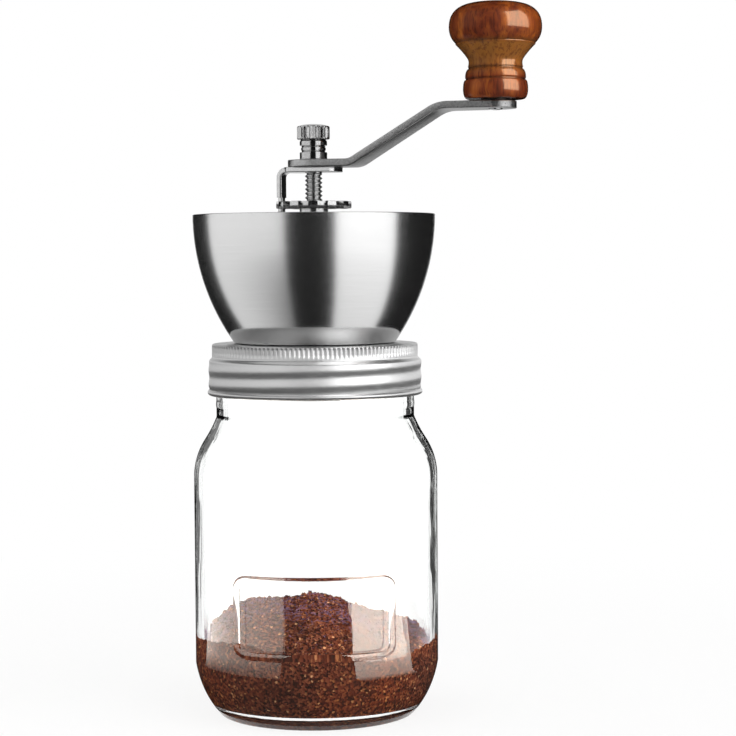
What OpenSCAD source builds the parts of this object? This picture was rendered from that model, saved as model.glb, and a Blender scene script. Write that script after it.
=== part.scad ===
// Hand crank coffee grinder that screws onto a glass jar.
// The origin is on the jar's axis, in the plane that the jar stands on. +Z is up.
// The jar's label frame faces -Y, and the crank arm points crank_azimuth round from +X.

/* [Jar] */
// Outside diameter of the glass body
jar_d = 85.6; // [83:0.2:92]
// Height of the glass rim above the table
jar_h = 126.4; // [122:0.2:134]
// Glass thickness of the body
jar_wall = 3; // [2.4:0.1:4]
// Glass thickness at the middle of the base
jar_base_t = 4.4; // [3:0.1:7]
// Height of the lowest ring inside, where the floor meets the heel
cavity_low = 4.2; // [3.4:0.1:5.4]
// Outside diameter of the ring that the jar stands on
foot_d = 68.8; // [62:0.2:74]
// Width of that ring
foot_w = 2.4; // [1.6:0.2:4]
// Height of the dimple under the base
push_up_h = 2.6; // [1.5:0.1:4]
// Height of the rounded heel
heel_h = 18; // [14:0.5:24]
// Outside diameter of the glass neck
neck_d = 69.4; // [68:0.2:71]
// Length of the neck, from the shoulder to the rim
neck_h = 22; // [20:0.5:26]
// Glass thickness of the neck
neck_wall = 3.2; // [2.6:0.1:3.8]
// Height of the curved shoulder
shoulder_h = 21; // [17:0.5:26]
// Height of the ring moulded round the neck
neck_ring_h = 2; // [1.6:0.1:3]
// Distance from the rim down to the middle of that ring
neck_ring_drop = 17.6; // [17:0.1:19]
// How far the ring stands out of the neck
neck_ring_proud = 0.2; // [0.1:0.05:0.5]

/* [Label frame] */
// Width of the raised frame on the jar's front
frame_w = 54.8; // [44:0.2:60]
// Height of the raised frame
frame_h = 28; // [20:0.2:32]
// Height of the frame's lower edge above the table
frame_z = 25.1; // [22:0.1:32]
// Outside radius of the frame's corners
frame_corner_r = 4.6; // [3:0.1:7]
// Width of the frame's ridge
frame_ridge_w = 2.3; // [1.6:0.1:3]
// How far the ridge stands out of the glass
frame_proud = 0.6; // [0.3:0.1:1]

/* [Thread] */
// Rise of the jar's thread in one turn
thread_pitch = 5.08; // [4.6:0.02:5.4]
// Distance from the rim down to the thread where it crosses +X
thread_drop = 8.3; // [7.4:0.1:9]
// Height of the glass thread
glass_thread_h = 1.5; // [1.2:0.1:1.8]
// Width of the glass thread at its root
glass_thread_w = 2.4; // [2:0.1:2.8]
// Turns of the glass thread
glass_thread_turns = 1.5; // [1:0.25:1.75]
// Radial play between the glass thread and the band's rolled thread
thread_play = 0.7; // [0.5:0.05:0.8]

/* [Screw band] */
// Height of the band
band_h = 17.9; // [16:0.1:18.6]
// Sheet thickness of the band
band_sheet = 0.5; // [0.35:0.05:0.7]
// Depth of the rolled thread
band_roll_h = 1.3; // [1:0.05:1.5]
// Diameter of the opening in the band's top
band_open_d = 52.8; // [50:0.2:56]
// Height of the knurled collar under the top
knurl_h = 3.4; // [2.4:0.1:4]
// Radial thickness of the collar
collar_t = 0.9; // [0.8:0.05:1.1]
// Depth of the knurl
knurl_depth = 0.4; // [0.2:0.05:0.5]
// Number of knurls
knurls = 140; // [100:1:150]
// Height of the rolled edge at the bottom
bead_h = 2; // [1.6:0.1:2.4]
// How far the rolled edge stands out past the thread
bead_proud = 0.35; // [0.1:0.05:0.6]

/* [Burr housing] */
// Thickness of the rubber seal on the rim
seal_t = 1.2; // [0.8:0.1:2]
// Radial width of the seal
seal_w = 4.6; // [3:0.1:5.4]
// Thickness of the housing's flange
flange_t = 1.8; // [1.4:0.1:2.4]
// Radial play between the flange and the band
flange_play = 0.6; // [0.3:0.1:1]
// Outside diameter of the housing inside the jar
housing_d = 50.8; // [49:0.2:52]
// Radial play between the housing's neck and the band's opening
neck_play = 0.4; // [0.2:0.1:0.6]
// Diameter of the throat that the beans fall through
throat_d = 37.2; // [34:0.2:38]

/* [Burrs] */
// Outside diameter of the outer burr
burr_d = 40; // [39.4:0.1:40.6]
// Height of the outer burr
burr_h = 14.2; // [13:0.1:15]
// Distance from the hopper's floor down to the top of the burrs
burr_drop = 3.8; // [3.2:0.1:5]
// Radius of the outer burr's teeth at the top
ring_top_r = 17; // [16:0.1:17.6]
// Radius of the outer burr's teeth at the bottom
ring_bottom_r = 16.4; // [16:0.1:17]
// Radius of the outer burr's teeth at its waist
ring_waist_r = 14.4; // [14:0.1:15]
// Gap between the two burrs' teeth
burr_gap = 0.5; // [0.35:0.05:0.8]
// Radius of the inner burr's nose
nose_r = 7.6; // [7:0.1:9]
// Coarse teeth that draw the beans in
coarse_teeth = 6; // [4:1:8]
// Fine teeth that grind
fine_teeth = 32; // [24:1:40]
// Depth of the coarse teeth
coarse_depth = 2.4; // [1.5:0.1:3]
// Depth of the fine teeth
fine_depth = 0.7; // [0.4:0.1:1]
// Twist of the teeth over the height of the burr
tooth_twist = 34; // [0:1:50]
// Thickness of the ring that retains the outer burr
retainer_t = 1.6; // [1.4:0.1:2]

/* [Hopper] */
// Rim diameter of the hopper
bowl_d = 84.8; // [80:0.2:92]
// Diameter of the hopper at its floor
bowl_foot_d = 56.4; // [55.6:0.2:60]
// Height of the hopper
bowl_h = 44.8; // [40:0.2:50]
// Sheet thickness of the hopper
bowl_sheet = 0.6; // [0.4:0.05:1]
// Gap between the screw band and the hopper
bowl_gap = 0.3; // [0.2:0.05:0.6]

/* [Centre frame] */
// Height of the centre tube's top above the hopper's floor
tube_h = 44; // [40:0.2:50]
// Outside diameter of the centre tube
tube_d = 12.4; // [11.6:0.1:14]
// Height of the tube's lower end above the hopper's floor
tube_lift = 9.2; // [8:0.1:12]
// Number of legs between the tube and the frame's ring
legs = 3; // [3:1:4]
// Thickness of a leg
leg_t = 3; // [2.4:0.1:4]
// Thickness of the frame's ring
ring_t = 2.4; // [2:0.1:3.4]
// Diameter of the circle that the screws stand on
screw_circle_d = 45.6; // [45:0.1:46.2]
// Diameter of the screws
screw_d = 3; // [2.5:0.1:3.2]

/* [Spindle] */
// Diameter of the spindle
spindle_d = 6; // [5.6:0.1:6.4]
// Radial clearance of a running fit
running_fit = 0.05; // [0.02:0.01:0.08]
// Width across the spindle's flats
flats_w = 4.8; // [4.2:0.1:5.2]
// Wall of the bushes
bush_wall = 1.5; // [1.2:0.1:1.8]
// Length of the bushes
bush_h = 12; // [8:0.5:15]
// Thickness of the bushes' flanges
bush_flange_t = 1; // [0.8:0.1:1.4]
// Diameter of the bushes' flanges
bush_flange_d = 10.6; // [10.2:0.1:12]
// Thickness of the bearing washer
washer_t = 1.2; // [0.8:0.1:1.6]
// Wire diameter of the spring
spring_wire_d = 1; // [0.8:0.1:1.2]
// Mean diameter of the spring
spring_d = 9; // [8.6:0.1:9.4]
// Turns of the spring
spring_turns = 5; // [4:1:6]

/* [Adjuster] */
// Diameter of the adjusting disc
disc_d = 26.4; // [25.6:0.2:30]
// Thickness of the adjusting disc
disc_t = 2.5; // [2:0.1:3.2]
// Number of notches in the disc
notches = 12; // [8:1:12]
// Width of a notch
notch_w = 3.6; // [3:0.1:4]
// Depth of a notch
notch_depth = 2.9; // [2.6:0.1:3.2]
// Length of thread that shows between the disc and the stop bracket
thread_show = 10.1; // [8:0.1:14]
// Thickness of the stop bracket's plate and leg
bracket_t = 1.8; // [1.6:0.1:2.2]
// Radius of the bend between them
bracket_bend_r = 2.6; // [1.4:0.1:3.2]
// Reach of the plate on the arm's side
bracket_reach = 10.2; // [8:0.1:12]
// Width of the plate
bracket_w = 13; // [10:0.2:15]
// Width of the bracket's leg
bracket_leg_w = 6; // [5:0.1:8]
// Play of the bracket's tongue in its notch, on each side
tongue_play = 0.2; // [0.1:0.05:0.4]

/* [Crank] */
// Direction of the crank arm, counted from +X
crank_azimuth = -15; // [-180:5:180]
// Distance from the spindle's axis to the knob's axis
arm_len = 64.9; // [56:0.1:80]
// Thickness of the arm
arm_t = 2.5; // [2:0.1:3]
// Radius of the arm's end at the spindle
arm_hub_r = 9; // [7:0.1:10]
// Radius of the arm's end at the knob
arm_pad_r = 7.2; // [6:0.1:9]
// Rise from the hub to the pad
arm_rise = 18.9; // [14:0.1:24]
// Distance from the spindle's axis to the arm's lower bend
arm_low_bend = 15.2; // [12:0.1:18]
// Distance from the spindle's axis to the arm's upper bend
arm_high_bend = 46.2; // [42:0.1:50]
// Radius of the lower bend
arm_low_bend_r = 6; // [4:0.5:12]
// Radius of the upper bend
arm_high_bend_r = 12; // [8:0.5:20]

/* [Thumb nut] */
// Height of the nut's neck
nut_neck_h = 7; // [6:0.1:9]
// Diameter of the nut's neck
nut_neck_d = 9.6; // [8.6:0.1:11]
// Depth of the groove round the neck
nut_groove = 0.5; // [0.3:0.05:0.7]
// Height of the nut's knurled head
nut_head_h = 4.8; // [4:0.1:7]
// Diameter of the nut's head
nut_head_d = 11.4; // [10:0.1:14]
// Height of the nut's domed top
nut_dome_h = 0.7; // [0.5:0.1:1.5]
// Number of flutes round the head
nut_flutes = 26; // [20:1:36]
// Depth of a flute
nut_flute_depth = 0.45; // [0.3:0.05:0.6]

/* [Knob] */
// Height of the wooden knob
knob_h = 33; // [30:0.1:36]
// Largest diameter of the knob
knob_d = 31.8; // [30:0.1:36]
// Diameter of the knob's waist
knob_waist_d = 18.2; // [17:0.1:22]
// Largest diameter of the knob's foot
knob_foot_d = 22.2; // [20:0.1:26]
// Diameter of the knob pin
pin_d = 4.8; // [4.4:0.1:5.2]
// Wall of the knob's bush
knob_bush_wall = 1.15; // [0.9:0.05:1.4]
// Diameter of the pin's head inside the knob
pin_head_d = 6.4; // [6:0.1:6.8]
// Thickness of the washer under the knob
knob_washer_t = 0.7; // [0.5:0.1:1]

/* [Coffee] */
// Height of the ground coffee at the middle of its heap
heap_h = 41; // [34:0.5:46]
// Height of the ground coffee at the glass
heap_edge_h = 27; // [24:0.5:32]
// Radius of the small peak on top of the heap
heap_peak_r = 10; // [6:0.5:14]
// Height of that peak
heap_peak_h = 2.4; // [1:0.1:4]

/* [Hidden] */
$fn = 96;

tiny = 0.01;
bushing_gap = 0.05;    // what keeps a coiled or pressed piece just clear of its seat

// Jar
jar_r = jar_d / 2;
foot_r = foot_d / 2;
neck_r = neck_d / 2;
neck_z = jar_h - neck_h;
shoulder_z = neck_z - shoulder_h;
mouth_r = neck_r - neck_wall;
cavity_r = jar_r - jar_wall;
cavity_z = push_up_h + jar_base_t;

// Heights up through the head, each piece seated on the last
seal_z = jar_h;
flange_z = seal_z + seal_t;
flange_top = flange_z + flange_t;
band_top = flange_top + band_sheet;
band_z = band_top - band_h;
bowl_z = band_top + bowl_gap;
bowl_floor = bowl_z + bowl_sheet;
bowl_rim = bowl_z + bowl_h;
burr_top = bowl_floor - burr_drop;
burr_z = burr_top - burr_h;
retainer_z = burr_z - retainer_t;
tube_z = bowl_floor + tube_lift;
tube_top = bowl_floor + tube_h;
washer_z = tube_top + bush_flange_t;
disc_z = washer_z + washer_t;
disc_top = disc_z + disc_t;
bracket_z = disc_top + thread_show;
arm_z = bracket_z + bracket_t;
nut_z = arm_z + arm_t;
pad_z = arm_z + arm_rise;
knob_washer_z = pad_z + arm_t;
knob_z = knob_washer_z + knob_washer_t;

// Band
roll_r = neck_r + glass_thread_h + thread_play + band_sheet;    // crest of the rolled thread
collar_r = roll_r - band_roll_h;
collar_bore_r = collar_r - collar_t;
flange_r = collar_bore_r - flange_play;
band_open_r = band_open_d / 2;
knurl_z = flange_top - knurl_h;
thread_start = jar_h - thread_drop;    // height of a thread crest where it crosses +X

// Housing and screws
housing_r = housing_d / 2;
housing_neck_r = band_open_r - neck_play;
throat_r = throat_d / 2;
burr_r = burr_d / 2;
screw_circle_r = screw_circle_d / 2;
screw_r = screw_d / 2;
screw_hole_r = screw_r + running_fit;
screw_head_r = 0.9 * screw_d;
screw_head_h = 0.55 * screw_d;
frame_screw_h = 12;
retainer_screw_h = 9;

// Spindle
spindle_r = spindle_d / 2;
spindle_bore_r = spindle_r + running_fit;
bush_r = spindle_bore_r + bush_wall;
driver_t = 2;
driver_r = 8.6;
burr_washer_t = 0.8;
burr_nut_h = 4.8;
burr_nut_r = 5.77;
burr_socket_h = 5.8;
driver_z = burr_z + burr_socket_h - driver_t;
burr_washer_z = driver_z - burr_washer_t;
burr_nut_z = burr_washer_z - burr_nut_h;
spindle_z = burr_nut_z - 0.8;
spindle_top = nut_z + nut_neck_h + 0.3 * nut_head_h;
seat_t = 1;
seat_r = 5.8;
spring_low = burr_top + seat_t + spring_wire_d / 2 + bushing_gap;
spring_high = tube_z - bush_flange_t - spring_wire_d / 2 - bushing_gap;

// Adjuster
disc_r = disc_d / 2;
notch_r = disc_r - notch_depth;
tongue_w = notch_w - 2 * tongue_play;
leg_inner_r = notch_r + 0.6;
leg_outer_r = leg_inner_r + bracket_t;
tongue_bottom = disc_z - 1.2;
tongue_h = disc_t + 2.6;

// Knob
pin_r = pin_d / 2;
knob_bush_r = pin_r + running_fit + knob_bush_wall;
knob_bush_h = 0.71 * knob_h;
pin_head_t = 1.6;
knob_bore_h = knob_bush_h + pin_head_t + 1.6;
rivet_r = 2.5;
rivet_h = 0.6;

// Points of the arc about (x, y), from angle a to angle b
function arc(x, y, r, a, b, n = 8) =
    [for (i = [0 : n]) [x + r * cos(a + (b - a) * i / n), y + r * sin(a + (b - a) * i / n)]];

// Points of the curve that leaves a towards b and reaches c from b
function bend(a, b, c, n = 8) =
    [for (i = [0 : n]) let (t = i / n) (1 - t) * (1 - t) * a + 2 * t * (1 - t) * b + t * t * c];

function reverse(list) = [for (i = [len(list) - 1 : -1 : 0]) list[i]];
function smooth(t) = let (u = min(1, max(0, t))) u * u * (3 - 2 * u);
function unit(v) = v / norm(v);

// Points that round the corner b between a and c with radius r
function round_corner(a, b, c, r, n = 8) =
    let (
        to_a = unit(a - b),
        to_c = unit(c - b),
        half = acos(to_a * to_c) / 2,
        centre = b + unit(to_a + to_c) * r / sin(half),
        from = unit(b + to_a * r / tan(half) - centre),
        to = unit(b + to_c * r / tan(half) - centre)
    )
    [for (i = [0 : n]) centre + r * unit(from * (n - i) + to * i)];

// Outline of a strip of thickness t that follows a path
function strip(path, t) =
    let (
        n = len(path),
        side = [for (i = [0 : n - 1])
            let (d = unit(path[min(i + 1, n - 1)] - path[max(i - 1, 0)])) [-d[1], d[0]]]
    )
    concat(
        [for (i = [0 : n - 1]) path[i] + side[i] * t / 2],
        [for (i = [n - 1 : -1 : 0]) path[i] - side[i] * t / 2]
    );

// A closed tube through rings of equal length: faces between ring i and ring i + 1
function ring_faces(rings, count, closed = false) =
    [for (i = [0 : rings - (closed ? 1 : 2)]) for (j = [0 : count - 1])
        let (a = i * count, b = ((i + 1) % rings) * count, k = (j + 1) % count)
        [a + j, a + k, b + k, b + j]];

// The same, with both ends closed
function swept_faces(rings, count) = concat(
    split(ring_faces(rings, count)),
    [for (j = [1 : count - 2]) [0, j + 1, j]],
    [for (j = [1 : count - 2]) let (a = (rings - 1) * count) [a, a + j, a + j + 1]]
);

function split(faces) = [for (f = faces) for (h = [[f[0], f[1], f[2]], [f[0], f[2], f[3]]]) h];

module on_screw_circle(start) {
    for (i = [0 : legs - 1])
        rotate([0, 0, start + i * 360 / legs])
            translate([screw_circle_r, 0, 0]) children();
}

// Lays a profile drawn as [along the arm, height] out along the crank arm, w wide
module along_crank(w) {
    rotate([0, 0, crank_azimuth])
        translate([0, w / 2, 0])
            rotate([90, 0, 0])
                linear_extrude(w) children();
}

module keyed_bore() {
    intersection() {
        circle(spindle_bore_r);
        square([4 * spindle_r, flats_w + 2 * running_fit], center = true);
    }
}

// ---- Jar ----

function jar_outside() = concat(
    bend([foot_r, 0], [jar_r - 1.8, 0.42 * heel_h], [jar_r, heel_h], 10),
    bend([jar_r, shoulder_z], [jar_r, shoulder_z + 0.34 * shoulder_h],
         [neck_r + 0.48 * (jar_r - neck_r), shoulder_z + 0.64 * shoulder_h]),
    bend([neck_r + 0.48 * (jar_r - neck_r), shoulder_z + 0.64 * shoulder_h],
         [neck_r + 0.18 * (jar_r - neck_r), shoulder_z + 0.82 * shoulder_h], [neck_r, neck_z]),
    bend([neck_r, jar_h - neck_ring_drop - neck_ring_h / 2],
         [neck_r + 2 * neck_ring_proud, jar_h - neck_ring_drop],
         [neck_r, jar_h - neck_ring_drop + neck_ring_h / 2], 4),
    arc(neck_r - 1, jar_h - 1, 1, 0, 90, 4)
);

// The cavity's outline, drawn in from the glass by inset: a domed floor, then the heel
function jar_inside(inset = 0) = concat(
    bend([0, cavity_z + inset], [0.55 * foot_r, cavity_z + inset],
         [foot_r - 4, cavity_low + inset], 6),
    bend([foot_r - 4, cavity_low + inset], [cavity_r - 1.4 - inset, cavity_low + 1 + inset],
         [cavity_r - inset, heel_h + 2], 10),
    bend([cavity_r - inset, shoulder_z - 1], [cavity_r - inset, shoulder_z + 0.3 * shoulder_h],
         [mouth_r + 0.48 * (cavity_r - mouth_r) - inset, shoulder_z + 0.62 * shoulder_h]),
    bend([mouth_r + 0.48 * (cavity_r - mouth_r) - inset, shoulder_z + 0.62 * shoulder_h],
         [mouth_r + 0.16 * (cavity_r - mouth_r) - inset, shoulder_z + 0.84 * shoulder_h],
         [mouth_r - inset, neck_z + 1])
);

module frame_outline(inset) {
    r = frame_corner_r - inset;
    x = frame_w / 2 - frame_corner_r;
    y = frame_h / 2 - frame_corner_r;
    polygon(concat(
        arc(x, y, r, 0, 90), arc(-x, y, r, 90, 180),
        arc(-x, -y, r, 180, 270), arc(x, -y, r, 270, 360)
    ));
}

// The raised frame on the jar's front, cut out of a thin shell round the body
module label_frame() {
    intersection() {
        translate([0, 0, frame_z + frame_h / 2])
            rotate([90, 0, 0])
                linear_extrude(jar_r + 5)
                    difference() {
                        frame_outline(0);
                        frame_outline(frame_ridge_w);
                    }
        rotate_extrude()
            translate([jar_r - 1, frame_z - 2])
                square([1 + frame_proud, frame_h + 4]);
    }
}

// One strand of glass thread, half round, with its ends run out into the neck
module glass_thread() {
    steps = ceil(24 * glass_thread_turns);
    sides = 5;
    points = [for (i = [0 : steps])
        let (
            a = 360 * glass_thread_turns * i / steps - 180,
            grow = smooth(6 * i / steps) * smooth(6 * (steps - i) / steps),
            h = 0.2 + (glass_thread_h - 0.2) * grow
        )
        for (j = [0 : sides])
            let (
                b = -90 + 180 * j / sides,
                r = neck_r - 0.3 + (j == 0 || j == sides ? 0 : 0.3 + h * cos(b))
            )
            [r * cos(a), r * sin(a),
             thread_start + thread_pitch * a / 360 + glass_thread_w / 2 * sin(b)]];
    count = sides + 1;
    polyhedron(points, swept_faces(steps + 1, count));
}

module glass_jar() {
    color("azure", 0.4) {
        difference() {
            rotate_extrude()
                polygon(concat(
                    bend([0, push_up_h], [0.7 * foot_r, push_up_h], [foot_r - foot_w, 0], 6),
                    jar_outside(),
                    [[0, jar_h]]
                ));
            rotate_extrude()
                polygon(concat(jar_inside(),
                    [[mouth_r, jar_h - 0.8], [mouth_r + 0.8, jar_h + tiny], [0, jar_h + tiny]]));
        }
        label_frame();
        glass_thread();
    }
}

// A heap of ground coffee that fills the bottom of the jar
module ground_coffee() {
    color("saddlebrown")
        rotate_extrude()
            intersection() {
                polygon(concat(jar_inside(0.15), [[0, neck_z]]));
                polygon(concat(
                    [[0, 0], [jar_r, 0], [jar_r, heap_edge_h]],
                    bend([cavity_r, heap_edge_h], [0.78 * cavity_r, heap_h - heap_peak_h - 1.1],
                         [heap_peak_r, heap_h - heap_peak_h]),
                    bend([heap_peak_r, heap_h - heap_peak_h], [heap_peak_r / 2, heap_h],
                         [0, heap_h], 4)
                ));
            }
}

// ---- Screw band ----

// Radius of the band's outside where the thread is rolled, at height z and angle a
function rolled_r(z, a) =
    let (
        into_collar = smooth((z - knurl_z + 3) / 2),
        fade = smooth((z - band_z - bead_h) / 2) * (1 - into_collar),
        wave = cos(360 * (z - thread_start) / thread_pitch - a)
    )
    roll_r - band_roll_h / 2 + fade * wave * band_roll_h / 2
        - into_collar * (band_roll_h / 2 + knurl_depth / 2);

// The skirt below the collar: a rolled edge, then sheet with the thread rolled into it, and a
// lip that stands in the collar
module band_skirt() {
    around = 48;
    rows = 15;
    low = band_z + bead_h;
    high = knurl_z - 0.9;
    lip_r = collar_bore_r + 0.15;
    lip_t = collar_t - knurl_depth - 0.2;
    bead_r = roll_r + bead_proud - bead_h / 2;
    edge = arc(bead_r, band_z + bead_h / 2, bead_h / 2, -90, 60, 4);
    heights = [for (i = [0 : rows]) low + (high - low) * i / rows];
    points = [for (k = [0 : around - 1])
        let (a = 360 * k / around)
        for (p = concat(
            edge,
            [for (z = heights) [rolled_r(z, a), z]],
            [for (z = [knurl_z - 0.4, knurl_z + 0.4]) [lip_r + lip_t, z]],
            [for (z = [knurl_z + 0.4, knurl_z - 0.4]) [lip_r, z]],
            [for (z = reverse(heights)) [rolled_r(z, a) - band_sheet, z]],
            [[roll_r - band_roll_h / 2 - band_sheet, band_z]]
        ))
        [p[0] * cos(a), p[0] * sin(a), p[1]]];
    count = len(edge) + 2 * len(heights) + 5;
    polyhedron(points, split(ring_faces(around, count, closed = true)));
}

module band_collar() {
    difference() {
        translate([0, 0, knurl_z])
            linear_extrude(knurl_h)
                polygon([for (i = [0 : 2 * knurls - 1])
                    let (r = collar_r - (i % 2) * knurl_depth, a = 180 * i / knurls)
                    [r * cos(a), r * sin(a)]]);
        translate([0, 0, knurl_z - tiny])
            cylinder(r = collar_bore_r, h = knurl_h + 2 * tiny);
    }
    translate([0, 0, flange_top])
        difference() {
            cylinder(r = collar_r - 1.5 * knurl_depth, h = band_sheet);
            translate([0, 0, -tiny]) cylinder(r = band_open_r, h = band_sheet + 2 * tiny);
        }
}

module screw_band() {
    color("silver") {
        band_skirt();
        band_collar();
    }
}

// ---- Grinding head ----

module burr_housing() {
    color("dimgray")
        difference() {
            union() {
                translate([0, 0, burr_z]) cylinder(r = housing_r, h = flange_z - burr_z + tiny);
                translate([0, 0, flange_z]) cylinder(r = flange_r, h = flange_t);
                translate([0, 0, flange_top - tiny])
                    cylinder(r = housing_neck_r, h = bowl_z - flange_top + tiny);
            }
            translate([0, 0, burr_z - tiny]) cylinder(r = burr_r, h = burr_h + tiny);
            translate([0, 0, burr_top - tiny])
                cylinder(r = throat_r, h = bowl_z - burr_top + 2 * tiny);
            on_screw_circle(90)
                translate([0, 0, bowl_z - frame_screw_h])
                    cylinder(r = screw_hole_r, h = frame_screw_h + tiny);
            on_screw_circle(30)
                translate([0, 0, burr_z - tiny])
                    cylinder(r = screw_hole_r, h = retainer_screw_h);
        }
}

module jar_seal() {
    color("whitesmoke")
        translate([0, 0, seal_z])
            difference() {
                cylinder(r = neck_r, h = seal_t);
                translate([0, 0, -tiny]) cylinder(r = neck_r - seal_w, h = seal_t + 2 * tiny);
            }
}

// Depth of a tooth at angle a: it rises slowly to its edge and drops away
function tooth(a, count) = let (t = a * count / 360) abs(2 * (t - floor(t + 0.5)));

// Points of a toothed cone. Each row is [height, radius, coarse depth, fine depth], and the
// teeth cut outwards where out is 1 and inwards where it is -1.
function toothed_rows(rows, out, around) =
    [for (row = rows) for (i = [0 : around - 1])
        let (
            a = 360 * i / around,
            turned = a + tooth_twist * (row[0] - burr_z) / burr_h,
            cut = max(row[2] * tooth(turned, coarse_teeth), row[3] * tooth(turned, fine_teeth)),
            r = row[1] + out * cut
        )
        [r * cos(a), r * sin(a), row[0]]];

module toothed_cone(rows, out) {
    around = 96;
    n = len(rows);
    polyhedron(
        toothed_rows(rows, out, around),
        concat(
            [for (f = split(ring_faces(n, around))) reverse(f)],
            [[for (i = [0 : around - 1]) i]],
            [[for (i = [around - 1 : -1 : 0]) (n - 1) * around + i]]
        )
    );
}

// Radius of the outer burr's teeth at fraction t of its height
function ring_tooth_r(t) =
    t < 0.45
        ? ring_bottom_r + (ring_waist_r - ring_bottom_r) * t / 0.45
        : ring_waist_r + (ring_top_r - ring_waist_r) * (t - 0.45) / 0.55;

// Radius of the inner burr's teeth: it keeps the gap and narrows to the nose
function cone_tooth_r(t) =
    t < 0.45
        ? ring_waist_r - burr_gap + (ring_bottom_r - ring_waist_r) * (1 - t / 0.45)
        : nose_r + (ring_waist_r - burr_gap - nose_r) * (1 - t) / 0.55;

module outer_burr() {
    rows = [for (i = [0 : 5])
        let (t = i / 5)
        [burr_z - tiny + (burr_h + 2 * tiny) * t, ring_tooth_r(t),
         coarse_depth * smooth((t - 0.4) / 0.5), fine_depth * (1 - smooth((t - 0.5) / 0.4))]];
    color("gray")
        difference() {
            translate([0, 0, burr_z]) cylinder(r = burr_r, h = burr_h);
            toothed_cone(rows, 1);
        }
}

module inner_burr() {
    rows = [for (i = [0 : 6])
        let (t = i / 6)
        [burr_z + 0.2 + (burr_h - 0.2) * t, cone_tooth_r(t),
         coarse_depth * smooth((t - 0.4) / 0.4) * (1 - 0.6 * t),
         fine_depth * (1 - smooth((t - 0.5) / 0.4))]];
    color("gray")
        difference() {
            toothed_cone(rows, -1);
            translate([0, 0, burr_z - 1]) cylinder(r = spindle_bore_r, h = burr_h + 2);
            translate([0, 0, burr_z - 1])
                cylinder(r = driver_r + running_fit, h = burr_socket_h + 1, $fn = 6);
        }
}

module burr_retainer() {
    color("dimgray")
        translate([0, 0, retainer_z])
            difference() {
                cylinder(r = housing_r, h = retainer_t);
                translate([0, 0, -tiny]) cylinder(r = ring_bottom_r + 1.2, h = retainer_t + 2 * tiny);
                on_screw_circle(30)
                    translate([0, 0, -tiny])
                        cylinder(r1 = screw_head_r - 0.2 + running_fit, r2 = screw_hole_r,
                                 h = retainer_t + 2 * tiny);
            }
}

module retainer_screws() {
    color("silver")
        on_screw_circle(30)
            translate([0, 0, retainer_z]) {
                cylinder(r1 = screw_head_r - 0.2, r2 = screw_r, h = retainer_t);
                cylinder(r = screw_r, h = retainer_t + retainer_screw_h - 1);
            }
}

// ---- Hopper ----

// The wall is one arc, upright at the rim
module hopper_bowl() {
    dr = (bowl_d - bowl_foot_d) / 2;
    wall_r = (dr * dr + bowl_h * bowl_h) / (2 * dr);
    color("lightgray")
        difference() {
            union() {
                rotate_extrude()
                    intersection() {
                        translate([bowl_d / 2 - wall_r, bowl_rim])
                            difference() {
                                circle(wall_r);
                                circle(wall_r - bowl_sheet);
                            }
                        translate([bowl_foot_d / 4, bowl_z]) square([bowl_d, bowl_h]);
                    }
                translate([0, 0, bowl_z]) cylinder(d = bowl_foot_d - bowl_sheet, h = bowl_sheet);
            }
            translate([0, 0, bowl_z - tiny]) cylinder(r = throat_r, h = bowl_sheet + 2 * tiny);
            on_screw_circle(90)
                translate([0, 0, bowl_z - tiny])
                    cylinder(r = screw_hole_r, h = bowl_sheet + 2 * tiny);
        }
}

// A tube on sloping legs, which stand on a ring screwed down through the hopper's floor
module centre_frame() {
    ring_in = throat_r + 0.6;
    ring_out = screw_circle_r + screw_head_r + 0.4;
    tube_r = tube_d / 2;
    color("darkgray")
        difference() {
            union() {
                translate([0, 0, tube_z]) cylinder(r = tube_r, h = tube_top - tube_z);
                translate([0, 0, bowl_floor])
                    difference() {
                        cylinder(r = ring_out, h = ring_t);
                        translate([0, 0, -tiny]) cylinder(r = ring_in, h = ring_t + 2 * tiny);
                    }
                for (i = [0 : legs - 1])
                    rotate([90, 0, 30 + i * 360 / legs])
                        translate([0, 0, -leg_t / 2])
                            linear_extrude(leg_t)
                                polygon([
                                    [ring_in + 0.4, bowl_floor],
                                    [ring_out - 1, bowl_floor],
                                    [ring_out - 1, bowl_floor + ring_t + 1],
                                    [tube_r - 1, tube_z + 9],
                                    [tube_r - 1, tube_z + 1]
                                ]);
            }
            translate([0, 0, bowl_floor - tiny]) cylinder(r = bush_r, h = tube_h + 2 * tiny);
            on_screw_circle(90)
                translate([0, 0, bowl_floor - tiny]) cylinder(r = screw_hole_r, h = 3 * ring_t);
        }
}

module frame_screws() {
    color("silver")
        on_screw_circle(90) {
            translate([0, 0, bowl_floor + ring_t]) cylinder(r = screw_head_r, h = screw_head_h);
            translate([0, 0, bowl_z - frame_screw_h + 1])
                cylinder(r = screw_r, h = bowl_floor + ring_t - bowl_z + frame_screw_h);
        }
}

module flanged_bush(flange_low) {
    difference() {
        union() {
            cylinder(r = bush_r, h = bush_h);
            translate([0, 0, flange_low]) cylinder(d = bush_flange_d, h = bush_flange_t);
        }
        translate([0, 0, -bush_h]) cylinder(r = spindle_bore_r, h = 3 * bush_h);
    }
}

module upper_bush() {
    color("ivory") translate([0, 0, tube_top - bush_h]) flanged_bush(bush_h);
}

module lower_bush() {
    color("ivory") translate([0, 0, tube_z]) flanged_bush(-bush_flange_t);
}

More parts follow.
